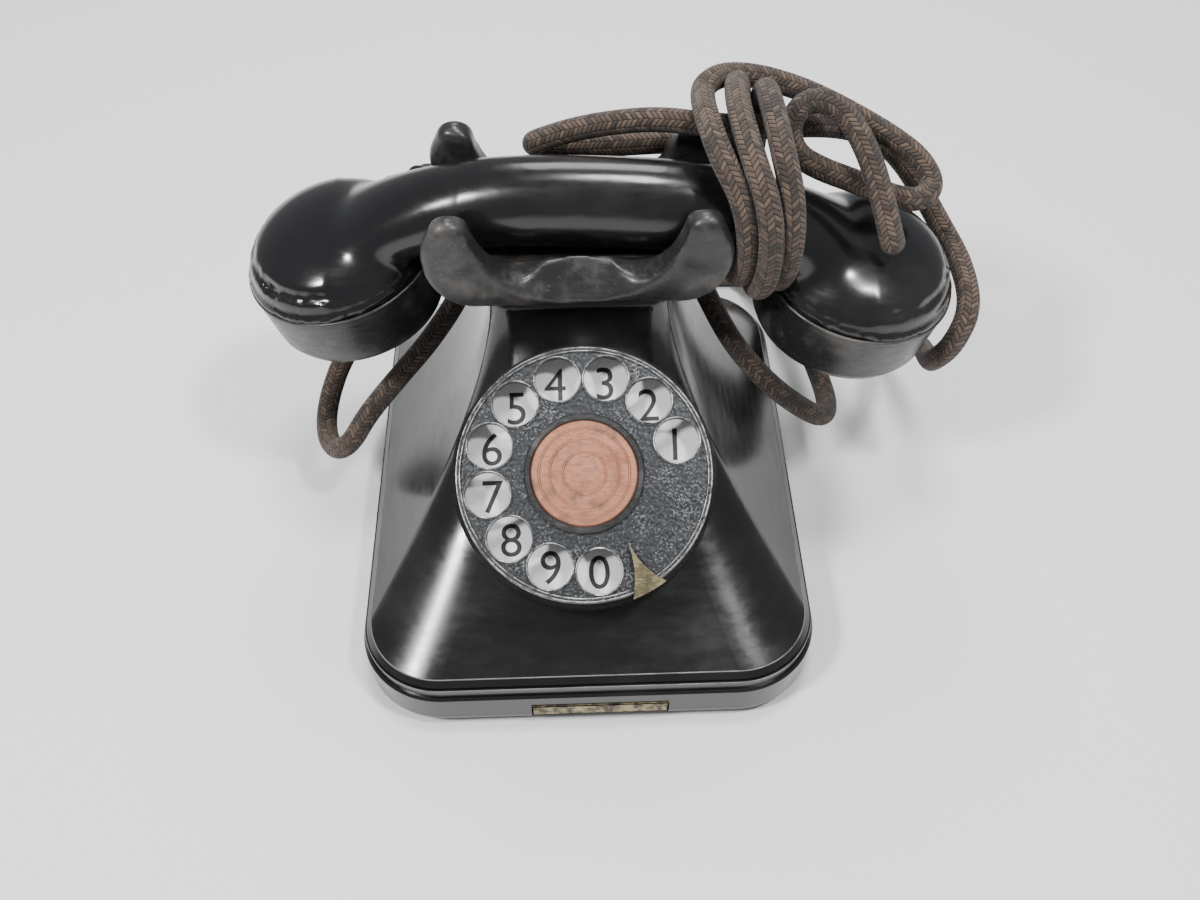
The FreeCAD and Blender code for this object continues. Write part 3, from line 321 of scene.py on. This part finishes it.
def braidFinish():
    # plaited cotton: slanted yarns that turn back from column to column, each yarn with its own shade
    # the UV map holds millimetres along the cord and the share of a turn round it
    material, shader = newMaterial("braidedCotton")
    place = addNode(material, "ShaderNodeTexCoord").outputs["UV"]
    uv = addNode(material, "ShaderNodeSeparateXYZ", {0: place})
    along, around = uv.outputs[0], uv.outputs[1]
    column = times(material, around, float(braid["columns"]))
    fold = maths(material, "PINGPONG", column, 1.0)
    pitches = maths(material, "DIVIDE", along, braid["pitch"])
    yarn = plus(material, pitches, times(material, fold, braid["slant"]))
    crown = spread(material, ripple(material, yarn, math.pi), 0.0, 0.75)
    valley = spread(material, ripple(material, column, math.pi), -0.2, 0.55)
    height = times(material, crown, valley)
    place = objectPlace(material)
    cloud = noise(material, place, 30.0, 4.0)
    fuzz = noise(material, place, 2600.0, 3.0)
    inColumn = maths(material, "FLOOR", yarn)
    number = plus(material, inColumn, times(material, maths(material, "FLOOR", column), braid["columnShift"]))
    scattered = maths(material, "SINE", times(material, number, braid["scatter"][0]))
    strand = maths(material, "FRACT", times(material, scattered, braid["scatter"][1]))
    tan = blendColours(material, strand, (0.046, 0.028, 0.019), (0.118, 0.076, 0.052))
    tan = blendColours(material, spread(material, fuzz, 0.40, 0.70, 0.0, 0.45), tan, (0.19, 0.135, 0.096))
    shade = plus(material, times(material, strand, 0.35), cloud)
    dark = spread(material, shade, 0.45, 0.85, 0.78, 0.05)
    colour = blendColours(material, dark, tan, (0.018, 0.015, 0.014))
    # painted shade: the hollows between the yarns and between the columns are darkened
    colour = blendColours(material, spread(material, height, 0.05, 0.55), (0.010, 0.007, 0.006), colour)
    connect(material, shader, "Base Color", colour)
    connect(material, shader, "Roughness", 0.88)
    connect(material, shader, "Sheen Weight", 0.12)
    connect(material, shader, "Sheen Roughness", 0.5)
    bumpFrom(material, shader, plus(material, height, times(material, fuzz, 0.25)), braid["relief"])
    return material


finishes = {name: mouldedFinish(name, look) for name, look in looks.items()}
finishes["wheel_paint"] = crinkleFinish()
finishes["copper_wire"] = windingFinish()
finishes["label"] = giltFinish()
finishes["braid"] = braidFinish()
rubbedMetal = wornMetalFinish()
print("finishes mixed:", len(finishes) + 1)


# Cords: one smooth line each, from the listed points

cords = {
    "diameter": 7.4 * mm,
    "sides": 24,
    "handsetUpper": [(-0.0581, 0.0546, 0.1075), (-0.0526, 0.0618, 0.1045), (-0.0486, 0.0695, 0.0935),
        (-0.0536, 0.0745, 0.08), (-0.0646, 0.07, 0.065), (-0.0801, 0.056, 0.0515),
        (-0.0931, 0.0395, 0.0415), (-0.0986, 0.025, 0.0335), (-0.0991, 0.0135, 0.028),
        (-0.0943, 0.0045, 0.029), (-0.0909, 0.003, 0.0328)],
    "handsetLower": [(-0.0909, 0.003, 0.0328), (-0.0874, 0.0015, 0.0365), (-0.0811, 0.007, 0.045),
        (-0.0701, 0.0155, 0.054), (-0.0571, 0.023, 0.0655), (-0.0446, 0.0345, 0.079),
        (-0.0401, 0.049, 0.0865), (-0.0261, 0.059, 0.0885), (-0.0051, 0.063, 0.087),
        (0.0159, 0.059, 0.0865), (0.0309, 0.046, 0.084), (0.0369, 0.029, 0.0775),
        (0.0459, 0.014, 0.067), (0.0589, 0.006, 0.055), (0.0714, 0.004, 0.0445),
        (0.0799, 0.0085, 0.035), (0.0839, 0.02, 0.0295), (0.0829, 0.037, 0.028), (0.0799, 0.062, 0.024),
        (0.0769, 0.088, 0.0185), (0.0699, 0.11, 0.0145), (0.0539, 0.1225, 0.012),
        (0.0349, 0.127, 0.0065), (0.0149, 0.1255, 0.0038), (-0.0041, 0.128, 0.0038),
        (-0.0181, 0.14, 0.0038), (-0.0171, 0.157, 0.0038), (-0.0021, 0.166, 0.0038),
        (0.0129, 0.158, 0.005), (0.0159, 0.141, 0.009), (0.0114, 0.124, 0.012), (0.0079, 0.11, 0.01),
        (0.0079, 0.097, 0.01)],
    "leadLower": [(0.0319, 0.097, 0.01), (0.0319, 0.106, 0.01), (0.0409, 0.115, 0.0055),
        (0.0579, 0.118, 0.0039), (0.0779, 0.114, 0.0039), (0.0969, 0.101, 0.008),
        (0.1109, 0.082, 0.017), (0.1184, 0.06, 0.028), (0.1199, 0.038, 0.04), (0.1179, 0.028, 0.0465)],
    "leadRise": [(0.1179, 0.028, 0.0465), (0.1159, 0.018, 0.053), (0.1124, 0.006, 0.066),
        (0.1149, 0.0005, 0.0785), (0.1204, 0.008, 0.088), (0.1199, 0.024, 0.0925),
        (0.1149, 0.038, 0.097), (0.1084, 0.0475, 0.105), (0.1009, 0.0515, 0.1145),
        (0.0964, 0.052, 0.1185)],
    "hankStart": [(0.0964, 0.052, 0.1185), (0.0919, 0.0525, 0.1225), (0.0799, 0.051, 0.128),
        (0.0659, 0.044, 0.134), (0.0499, 0.037, 0.1385), (0.0349, 0.0355, 0.141),
        (0.0199, 0.038, 0.142), (0.0059, 0.041, 0.139), (-0.0061, 0.0435, 0.135),
        (-0.0151, 0.045, 0.131), (-0.0201, 0.0485, 0.1265), (-0.0171, 0.0535, 0.1215),
        (-0.0061, 0.055, 0.12), (0.0059, 0.0545, 0.1205), (0.0199, 0.054, 0.1215),
        (0.0319, 0.0535, 0.122), (0.0409, 0.0525, 0.1215), (0.0489, 0.05, 0.1175),
        (0.0539, 0.045, 0.11), (0.0559, 0.036, 0.1025)],
    "hankEnd": [(0.0339, 0.045, 0.149), (0.0399, 0.053, 0.147), (0.0509, 0.058, 0.143),
        (0.0639, 0.0565, 0.1395), (0.0739, 0.051, 0.1375), (0.0839, 0.0455, 0.1345),
        (0.0939, 0.0405, 0.1305), (0.1019, 0.036, 0.126), (0.1059, 0.0295, 0.121),
        (0.1009, 0.0235, 0.1195), (0.0909, 0.024, 0.1215), (0.0799, 0.0265, 0.1255),
        (0.0689, 0.027, 0.13), (0.0604, 0.029, 0.1345), (0.0584, 0.0355, 0.1405),
        (0.0649, 0.0415, 0.1455), (0.0739, 0.037, 0.146), (0.0804, 0.027, 0.14), (0.0854, 0.0145, 0.13),
        (0.0889, 0.001, 0.118)],
}

# the turns of the hank round the handle, in millimetres; across is how far the cord is from the case's middle
# along X, after each quarter turn
turns = {"steps": 12, "points": 32, "middle": (26.0, 127.5), "front": 28.6, "back": 25.0, "below": 27.0,
         "above": 23.5, "slack": (1.8, 4.6, 0.0, 0.0), "slackUp": 0.7, "fullness": 0.8,
         "across": (60.0, 62.5, 58.0, 58.5, 54.2, 56.3, 47.5, 53.0, 48.8, 50.4, 38.5, 38.5)}


def fuller(value):
    return math.copysign(abs(value) ** turns["fullness"], value)


def turnPoints():
    points = []
    for index in range(turns["points"]):
        turn, step = divmod(index, turns["steps"])
        walked = 4 * step / turns["steps"]
        quarter = int(walked)
        share = (1 - math.cos(math.pi * (walked - quarter))) / 2
        first, second = turns["across"][4 * turn + quarter:4 * turn + quarter + 2]
        across = first * (1 - share) + second * share
        slack = turns["slack"][turn] + (turns["slack"][turn + 1] - turns["slack"][turn]) * max(0.0, walked - 3)
        ahead = fuller(math.sin(math.tau * step / turns["steps"]))
        down = fuller(math.cos(math.tau * step / turns["steps"]))
        deep = (turns["front"] if ahead > 0 else turns["back"]) + slack
        tall = (turns["below"] if down > 0 else turns["above"]) + slack * turns["slackUp"]
        middleY, middleZ = turns["middle"]
        place = [across, middleY - deep * ahead, middleZ - tall * down]
        x, y, z = (round(value, 1) * mm for value in place)
        points.append((x + caseX, y, z))
    return points


cords["hank"] = cords["hankStart"] + turnPoints() + cords["hankEnd"]


def routeLine(points):
    curve = bpy.data.curves.new("route", "CURVE")
    curve.dimensions = "3D"
    curve.resolution_u = 9
    spline = curve.splines.new("NURBS")
    spline.points.add(len(points) - 1)
    for control, point in zip(spline.points, points):
        control.co = (*point, 1.0)
    spline.order_u = 3
    spline.use_endpoint_u = True
    holder = bpy.data.objects.new("route", curve)
    bpy.context.scene.collection.objects.link(holder)
    bpy.context.view_layer.update()
    mesh = bpy.data.meshes.new_from_object(holder)
    line = [vert.co.copy() for vert in mesh.vertices]
    bpy.data.objects.remove(holder)
    bpy.data.curves.remove(curve)
    bpy.data.meshes.remove(mesh)
    return line


def tubeAlong(name, line, radii, finish, side=None, travelled=0.0, sides=None):
    # returns the piece, its last sideways direction and the length reached, so that the next piece carries on
    sides = sides or cords["sides"]
    count = len(line)
    lengths, frames = [travelled], []
    for i, point in enumerate(line):
        ahead = (line[min(i + 1, count - 1)] - line[max(i - 1, 0)]).normalized()
        side = ahead.orthogonal() if side is None else side
        side = (side - ahead * side.dot(ahead)).normalized()
        frames.append((side, ahead.cross(side)))
        if i:
            lengths.append(lengths[-1] + (point - line[i - 1]).length)
    bm = bmesh.new()
    bmesh.ops.create_grid(bm, x_segments=count - 1, y_segments=sides, size=0.5, calc_uvs=True)
    uv = bm.loops.layers.uv.verify()
    stations = {vert: (round((vert.co.x + 0.5) * (count - 1)), vert.co.y + 0.5) for vert in bm.verts}
    for face in bm.faces:
        for loop in face.loops:
            i, turn = stations[loop.vert]
            loop[uv].uv = (lengths[i] / mm, turn)
    for vert, (i, turn) in stations.items():
        across, over = frames[i]
        angle = math.tau * turn
        vert.co = line[i] + (across * math.cos(angle) + over * math.sin(angle)) * radii[i]
    bmesh.ops.remove_doubles(bm, verts=bm.verts, dist=1e-6)
    ends = [edge for edge in bm.edges if edge.is_boundary]
    bmesh.ops.holes_fill(bm, edges=ends, sides=0)
    bmesh.ops.recalc_face_normals(bm, faces=bm.faces)
    return pieceFrom(bm, name, finish), side, lengths[-1]


def layCord(name, side=None, travelled=0.0, roundEnd=False):
    line = routeLine(cords[name])
    radius = cords["diameter"] / 2
    if roundEnd:
        tip = line[-3:]
        line = line[:-3]
        line += [tip[0].lerp(tip[1], k / 5) for k in range(5)]
        line += [tip[1].lerp(tip[2], k / 8) for k in range(9)]
    radii = [radius] * len(line)
    if roundEnd:
        left = 0.0
        for i in range(len(line) - 1, 0, -1):
            inside = max(0.0, 1 - left / radius)
            radii[i] = radius * max(0.12, math.sqrt(1 - inside * inside))
            left += (line[i] - line[i - 1]).length
            if left > radius:
                break
    piece, side, travelled = tubeAlong(name, line, radii, "braid", side, travelled)
    return piece, line, side, travelled


handsetUpper, upperLine, lastSide, reached = layCord("handsetUpper")
handsetLower, lowerLine, _, _ = layCord("handsetLower", side=lastSide, travelled=reached)
leadLower, leadLine, lastSide, reached = layCord("leadLower")
leadRise, riseLine, lastSide, reached = layCord("leadRise", side=lastSide, travelled=reached)
hank, hankLine, _, _ = layCord("hank", side=lastSide, travelled=reached, roundEnd=True)
for piece, line in ((handsetUpper, upperLine), (handsetLower, lowerLine), (leadLower, leadLine),
                    (leadRise, riseLine), (hank, hankLine)):
    print(piece.name, "length", round(sum((b - a).length for a, b in zip(line, line[1:])), 4))


reliefs = {"length": 24 * mm, "thick": 5.3 * mm, "thin": 4.1 * mm, "ribs": 6, "rib": 0.35 * mm}


def strainRelief(name, line):
    # ribbed sleeve that tapers along the start of a cord
    walked, course = 0.0, [line[0]]
    for a, b in zip(line, line[1:]):
        pieces = 6
        for k in range(1, pieces + 1):
            point = a.lerp(b, k / pieces)
            walked += (b - a).length / pieces
            if walked > reliefs["length"]:
                break
            course.append(point)
        if walked > reliefs["length"]:
            break
    total = len(course) - 1
    radii = []
    for i in range(total + 1):
        share = i / total
        rib = reliefs["rib"] * (0.5 + 0.5 * math.cos(math.tau * share * reliefs["ribs"]))
        taper = reliefs["thick"] + (reliefs["thin"] - reliefs["thick"]) * share
        radii.append(taper + rib * (1 - 0.6 * share))
    return tubeAlong(name, course, radii, "rubber", sides=32)[0]


bushSleeve = strainRelief("handsetBushSleeve", upperLine)
handsetGlandSleeve = strainRelief("handsetGlandSleeve", lowerLine[::-1])
lineGlandSleeve = strainRelief("lineGlandSleeve", leadLine)

print("cords laid")


# Where the dial, the handset and its cups are in the frame

dialPlace = Matrix.Translation((caseX, -0.047, 0.0774)) @ turned(32.5, "X")
handsetPlace = Matrix.Translation((0, 0.0238, 0.0981)) @ turned(-4.8, "Z") @ turned(4.5, "X")
cupReach = 83.4 * mm
cupTilt = 9.0
cupPlaces = {side: handsetPlace @ Matrix.Translation((side * cupReach, 0, 0)) @ turned(side * cupTilt, "Y")
             for side in (-1, 1)}

handsetTrim = {"radius": 30.75, "bead": 0.62, "height": 0.1}


def trimHandset():
    for side, name in ((-1, "transmitter"), (1, "receiver")):
        profile = beadProfile(handsetTrim["radius"], handsetTrim["height"], handsetTrim["bead"])
        seam = lathe(name + "SeamBead", profile, "bakelite_worn", cupPlaces[side], steps=160)
        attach(seam, "handset")


trimHandset()

wheel = {"radius": 38.5, "rimHeight": 0.48, "holes": 10, "holeCircle": 29.6, "holeRadius": 6.7,
         "firstAngle": 18.0, "angleStep": 28.8, "rimBead": 0.22, "holeBead": 0.24, "top": 0.3}


def trimWheel():
    for name, inset in (("wheelRimOuter", 0.25), ("wheelRimInner", 1.25)):
        profile = beadProfile(wheel["radius"] - inset, wheel["rimHeight"], wheel["rimBead"])
        rim = lathe(name, profile, "nickel", dialPlace, steps=192)
        rim.data.materials[0] = rubbedMetal
        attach(rim, "dial")
    bm = bmesh.new()
    for index in range(wheel["holes"]):
        angle = wheel["firstAngle"] + index * wheel["angleStep"]
        hole = bmesh.new()
        ring = beadProfile(wheel["holeRadius"] + 0.28, wheel["top"], wheel["holeBead"], 8)
        points = [hole.verts.new((radius * mm, 0, height * mm)) for radius, height in ring]
        lines = [hole.edges.new(pair) for pair in zip(points, points[1:] + points[:1])]
        bmesh.ops.spin(hole, geom=points + lines, cent=(0, 0, 0), axis=(0, 0, 1), angle=math.tau, steps=56,
                       use_merge=True)
        bmesh.ops.recalc_face_normals(hole, faces=hole.faces)
        spot = turned(angle, "Z") @ Matrix.Translation((wheel["holeCircle"] * mm, 0, 0))
        bmesh.ops.transform(hole, matrix=spot, verts=hole.verts)
        part = bpy.data.meshes.new("hole")
        hole.to_mesh(part)
        hole.free()
        bm.from_mesh(part)
        bpy.data.meshes.remove(part)
    rims = pieceFrom(bm, "fingerHoleRims", "nickel", dialPlace)
    rims.data.materials[0] = rubbedMetal
    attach(rims, "dial")


trimWheel()

badge = {"top": 0.9, "radius": 15.6, "rings": (6.4, 10.4, 13.6), "ridge": 0.28, "ringFoot": 0.45,
         "ringShoulder": 0.15, "rises": (-0.3, 0.30, 0.16, 0.12)}


def dialFace():
    # plain turned rings on the centre disc
    under, middle, flat, edge = (badge["top"] + rise for rise in badge["rises"])
    crest = flat + badge["ridge"]
    profile = [(0.0, under), (0.0, middle), (3.0, middle - 0.04)]
    for radius in badge["rings"]:
        foot, shoulder = badge["ringFoot"], badge["ringShoulder"]
        profile += [(radius - foot, flat), (radius - shoulder, crest), (radius + shoulder, crest),
                    (radius + foot, flat)]
    profile += [(badge["radius"], edge), (badge["radius"], under)]
    face = lathe("badgeFace", profile, "copper", dialPlace, steps=128, closed=False)
    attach(face, "dial")


dialFace()

digits = {"size": 14.4, "lift": -8.97, "raise": 0.07}


def paintDigits():
    for index, sign in enumerate("1234567890"):
        text = bpy.data.curves.new("digit" + sign, "FONT")
        text.body = sign
        text.size = digits["size"] * mm
        text.align_x = "CENTER"
        text.align_y = "CENTER"
        text.extrude = digits["raise"] * mm / 2
        holder = bpy.data.objects.new("digit" + sign, text)
        bpy.context.scene.collection.objects.link(holder)
        bpy.context.view_layer.update()
        mesh = bpy.data.meshes.new_from_object(holder)
        bpy.data.objects.remove(holder)
        bm = bmesh.new()
        bm.from_mesh(mesh)
        bpy.data.meshes.remove(mesh)
        bmesh.ops.remove_doubles(bm, verts=bm.verts, dist=1e-7)
        middle = sum((vert.co for vert in bm.verts), Vector()) / len(bm.verts)
        low = min(vert.co.y for vert in bm.verts)
        high = max(vert.co.y for vert in bm.verts)
        bmesh.ops.translate(bm, vec=(-middle.x, -(low + high) / 2, 0), verts=bm.verts)
        angle = math.radians(wheel["firstAngle"] + index * wheel["angleStep"])
        spot = Vector((math.cos(angle), math.sin(angle), 0)) * wheel["holeCircle"] * mm
        spot.z = digits["lift"] * mm
        digit = pieceFrom(bm, "digit" + sign, "enamel", dialPlace @ Matrix.Translation(spot))
        digit.data.materials[0] = digitPaint
        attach(digit, "case")


digitLook = {"base": (0.012, 0.012, 0.012), "worn": (0.05, 0.05, 0.05), "wear": 0.4, "rough": (0.45, 0.6),
             "metal": 0.0, "coat": 0.0, "cloud": 200, "grain": 1500, "relief": 0.003, "specks": 0.1}
digitPaint = mouldedFinish("digitPaint", digitLook)
paintDigits()
print("dial dressed")


# Cradle: the saddle with soft, rounded horns, from a merged copy of its solid

cradleShape = {"voxel": 0.9 * mm, "rounds": 14, "horn": (37.0, 18.5, 131.0), "reach": 15 * mm,
               "swell": 2.2 * mm,
               "lastRounds": 6}
handleShape = {"voxel": 1.1 * mm, "rounds": 2, "from": 0.042, "to": 0.084, "above": 5.2 * mm,
               "rim": 30.4 * mm, "blendRounds": 45,
               "bores": ((27.2 * mm, 9.3 * mm), (19.5 * mm, 13.3 * mm)), "boreTop": 0.5 * mm}


def mergedCopy(nodeName):
    bm = bmesh.new()
    bm.from_mesh(nodes[nodeName].data)
    bmesh.ops.remove_doubles(bm, verts=bm.verts, dist=1e-6)
    return bm


def remeshed(bm, name, voxel, rounds):
    mesh = bpy.data.meshes.new(name)
    bm.to_mesh(mesh)
    bm.free()
    copy = bpy.data.objects.new(name, mesh)
    bpy.context.scene.collection.objects.link(copy)
    remesh = copy.modifiers.new("remesh", "REMESH")
    remesh.mode = "VOXEL"
    remesh.voxel_size = voxel
    smooth = copy.modifiers.new("smooth", "SMOOTH")
    smooth.factor = 0.5
    smooth.iterations = rounds
    bpy.context.view_layer.update()
    fine = bpy.data.meshes.new_from_object(copy.evaluated_get(bpy.context.evaluated_depsgraph_get()))
    bpy.data.objects.remove(copy)
    bpy.data.meshes.remove(mesh)
    bm = bmesh.new()
    bm.from_mesh(fine)
    bpy.data.meshes.remove(fine)
    return bm


def soften(bm, verts, rounds):
    for _ in range(rounds):
        bmesh.ops.smooth_vert(bm, verts=verts, factor=0.5, use_axis_x=True, use_axis_y=True, use_axis_z=True)


def standIn(bm, name, nodeName, finish, body):
    piece = pieceFrom(bm, name, finish)
    piece.data.shade_smooth()
    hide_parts(nodeName)
    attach(piece, body)


def shapeCradle():
    bm = remeshed(mergedCopy("cradle"), "cradleSaddle", cradleShape["voxel"], cradleShape["rounds"])
    acrossX, acrossY, height = cradleShape["horn"]
    bm.normal_update()
    for vert in bm.verts:
        side = math.copysign(1, vert.co.x - caseX)
        end = math.copysign(1, vert.co.y - cradleY)
        tip = Vector((caseX + side * acrossX * mm, cradleY + end * acrossY * mm, height * mm))
        near = max(0.0, 1 - (vert.co - tip).length / cradleShape["reach"])
        outward = max(0.0, vert.normal.dot(Vector((side * 0.35, end * 0.9, 0.25))))
        vert.co += vert.normal * cradleShape["swell"] * outward * near * (2 - near)
    soften(bm, bm.verts, cradleShape["lastRounds"])
    standIn(bm, "cradleSaddle", "cradle", "bakelite_worn", "cradle")


def shapeHandle():
    # the oval grip runs into the two domes in a soft hollow
    bm = mergedCopy("handset_handle")
    inward = {side: cupPlaces[side].inverted() for side in cupPlaces}
    for vert in bm.verts:
        side = 1 if vert.co.x > 0 else -1
        inCup = inward[side] @ vert.co
        away = math.hypot(inCup.x, inCup.y)
        if any(away < reach and inCup.z < top for reach, top in handleShape["bores"]):
            inCup.z = min(inCup.z, handleShape["boreTop"])
            vert.co = cupPlaces[side] @ inCup
    bm = remeshed(bm, "handsetGrip", handleShape["voxel"], handleShape["rounds"])
    soft = []
    for vert in bm.verts:
        side = 1 if vert.co.x > 0 else -1
        inCup = inward[side] @ vert.co
        away = math.hypot(inCup.x, inCup.y)
        outside = inCup.z > handleShape["above"] or away > handleShape["rim"]
        if handleShape["from"] < abs(vert.co.x) < handleShape["to"] and outside:
            soft.append(vert)
    soften(bm, soft, handleShape["blendRounds"])
    standIn(bm, "handsetGrip", "handset_handle", "bakelite", "handset")


shapeCradle()
shapeHandle()
print("cradle and grip shaped")


# Light bands on the edges of the plinth: thin rounded bands where the case steps in, coloured as rubbed wear
# and as a painted highlight along the rounded edges

plinth = {"width": 148.0, "depth": 178.0, "corner": 27.0, "bands": ((1.0, 20.9), (3.3, 24.0)), "band": 0.55,
          "thick": 0.5, "round": 0.16}


def paintEdgeWearAndHighlight():
    for number, (inset, height) in enumerate(plinth["bands"]):
        bm = bmesh.new()
        bmesh.ops.create_grid(bm, x_segments=1, y_segments=1, size=0.5)
        across = (plinth["width"] - 2 * inset) * mm
        along = (plinth["depth"] - 2 * inset) * mm
        bmesh.ops.scale(bm, vec=(across, along, 1), verts=bm.verts)
        bmesh.ops.bevel(bm, geom=bm.verts[:], offset=(plinth["corner"] - inset) * mm, offset_type="OFFSET",
                        segments=24, profile=0.5, affect="VERTICES", material=-1)
        bmesh.ops.inset_region(bm, faces=bm.faces[:], thickness=plinth["band"] * mm, use_boundary=True,
                               use_even_offset=True)
        middle = [face for face in bm.faces if len(face.verts) > 8]
        bmesh.ops.delete(bm, geom=middle, context="FACES")
        bmesh.ops.solidify(bm, geom=bm.faces[:], thickness=plinth["thick"] * mm)
        bmesh.ops.recalc_face_normals(bm, faces=bm.faces)
        sharp = [edge for edge in bm.edges if edge.calc_face_angle(0) > 1.0]
        bmesh.ops.bevel(bm, geom=sharp, offset=plinth["round"] * mm, offset_type="OFFSET", segments=2,
                        profile=0.5, affect="EDGES", material=-1)
        band = pieceFrom(bm, "plinthEdgeWearAndHighlight%d" % (number + 1), "bakelite_worn",
                         Matrix.Translation((caseX, 0, height * mm)))
        band.data.materials[0] = edgeWearAndHighlightPlastic
        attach(band, "case")


# light grey band colour: a painted highlight along the rounded step edges, partly rubbed wear
edgeWearAndHighlightLook = {"base": (0.15, 0.145, 0.135), "worn": (0.012, 0.012, 0.012), "wear": 0.85,
              "rough": (0.22, 0.40), "metal": 0.0, "coat": 0.2, "cloud": 90, "grain": 1200,
              "relief": 0.01, "specks": 0.3}
edgeWearAndHighlightPlastic = mouldedFinish("edgeWearAndHighlightPlastic", edgeWearAndHighlightLook)
paintEdgeWearAndHighlight()

# Label plate: thin raised border and two rivets

label = {"width": 44.0, "height": 5.5, "x": -3.1, "front": -89.4, "z": 8.8, "border": 0.5, "stand": 0.12,
         "rivetInset": 1.6, "rivet": [(0, 0.42), (0.45, 0.36), (0.8, 0.14), (0.85, -0.2), (0, -0.2)]}


def labelBorder():
    bm = bmesh.new()
    bmesh.ops.create_grid(bm, x_segments=1, y_segments=1, size=0.5)
    bmesh.ops.scale(bm, vec=(label["width"] * mm, label["height"] * mm, 1), verts=bm.verts)
    bmesh.ops.inset_region(bm, faces=bm.faces[:], thickness=label["border"] * mm, use_boundary=True,
                           use_even_offset=True)
    middle = min(bm.faces, key=lambda face: face.calc_center_median().length)
    bmesh.ops.delete(bm, geom=[middle], context="FACES")
    bmesh.ops.solidify(bm, geom=bm.faces[:], thickness=label["stand"] * mm)
    place = Matrix.Translation((label["x"] * mm, label["front"] * mm, label["z"] * mm)) @ turned(90, "X")
    bmesh.ops.recalc_face_normals(bm, faces=bm.faces)
    border = pieceFrom(bm, "labelBorder", "brass", place)
    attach(border, "case")
    for name, side in (("Left", -1), ("Right", 1)):
        spot = Matrix.Translation((side * (label["width"] / 2 - label["rivetInset"]) * mm, 0, 0))
        rivet = lathe("labelRivet" + name, label["rivet"], "brass", place @ spot, steps=24, closed=False)
        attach(rivet, "case")


labelBorder()
print("label bordered")

# Finishes of the parts that keep their own shape
for part in frame["record"]["subparts"]:
    node = nodes[part["node"]]
    node.data.materials.clear()
    node.data.materials.append(finishes[part["material_slot"]])
nodes["badge_ring"].data.materials[0] = finishes["bakelite_worn"]
print("parts finished:", len(nodes))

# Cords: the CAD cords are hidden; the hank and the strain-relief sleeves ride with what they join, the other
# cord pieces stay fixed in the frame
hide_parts("handset_cord")
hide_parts("handset_cord")
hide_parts("line_cord_lead")
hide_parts("line_cord_rise", "line_cord_lead")
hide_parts("line_cord_hank", "line_cord_wraps", "line_cord_tail")
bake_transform(handsetUpper)
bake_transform(handsetLower)
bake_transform(leadLower)
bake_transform(leadRise)
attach(hank, "handset")
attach(bushSleeve, "handset")
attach(handsetGlandSleeve, "case")
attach(lineGlandSleeve, "case")


# Floor and light

studio = {"floor": (0.90, 0.90, 0.90), "sky": 0.34,
          "aim": (0, 0, 0.06),
          "lamps": [((-0.62, -0.42, 1.00), 0.15, 12.0), ((0.42, -0.30, 1.15), 0.12, 8.0),
                    ((0.0, 0.80, 0.95), 0.45, 5.0), ((0.05, 0.12, 1.30), 0.25, 8.0)]}


def layFloor():
    bm = bmesh.new()
    bmesh.ops.create_grid(bm, x_segments=1, y_segments=1, size=8)
    floor = bpy.data.objects.new("floor", bpy.data.meshes.new("floor"))
    bm.to_mesh(floor.data)
    bm.free()
    bpy.context.scene.collection.objects.link(floor)
    material, shader = newMaterial("paleFloor")
    cloud = noise(material, objectPlace(material), 3.0, 2.0)
    darker = [c * 0.98 for c in studio["floor"]]
    connect(material, shader, "Base Color", blendColours(material, cloud, studio["floor"], darker))
    connect(material, shader, "Roughness", 0.7)
    floor.data.materials.append(material)


def hangLamps():
    for number, (place, size, power) in enumerate(studio["lamps"]):
        lamp = bpy.data.objects.new("lamp%d" % number, bpy.data.lights.new("lamp%d" % number, "AREA"))
        lamp.data.size = size
        lamp.data.energy = power
        lamp.location = place
        lamp.rotation_euler = (Vector(studio["aim"]) - Vector(place)).to_track_quat("-Z", "Y").to_euler()
        bpy.context.scene.collection.objects.link(lamp)
    world = bpy.data.worlds.new("studio")
    world.use_nodes = True
    world.node_tree.nodes["Background"].inputs[0].default_value = (0.95, 0.97, 1.0, 1.0)
    world.node_tree.nodes["Background"].inputs[1].default_value = studio["sky"]
    bpy.context.scene.world = world


layFloor()
hangLamps()
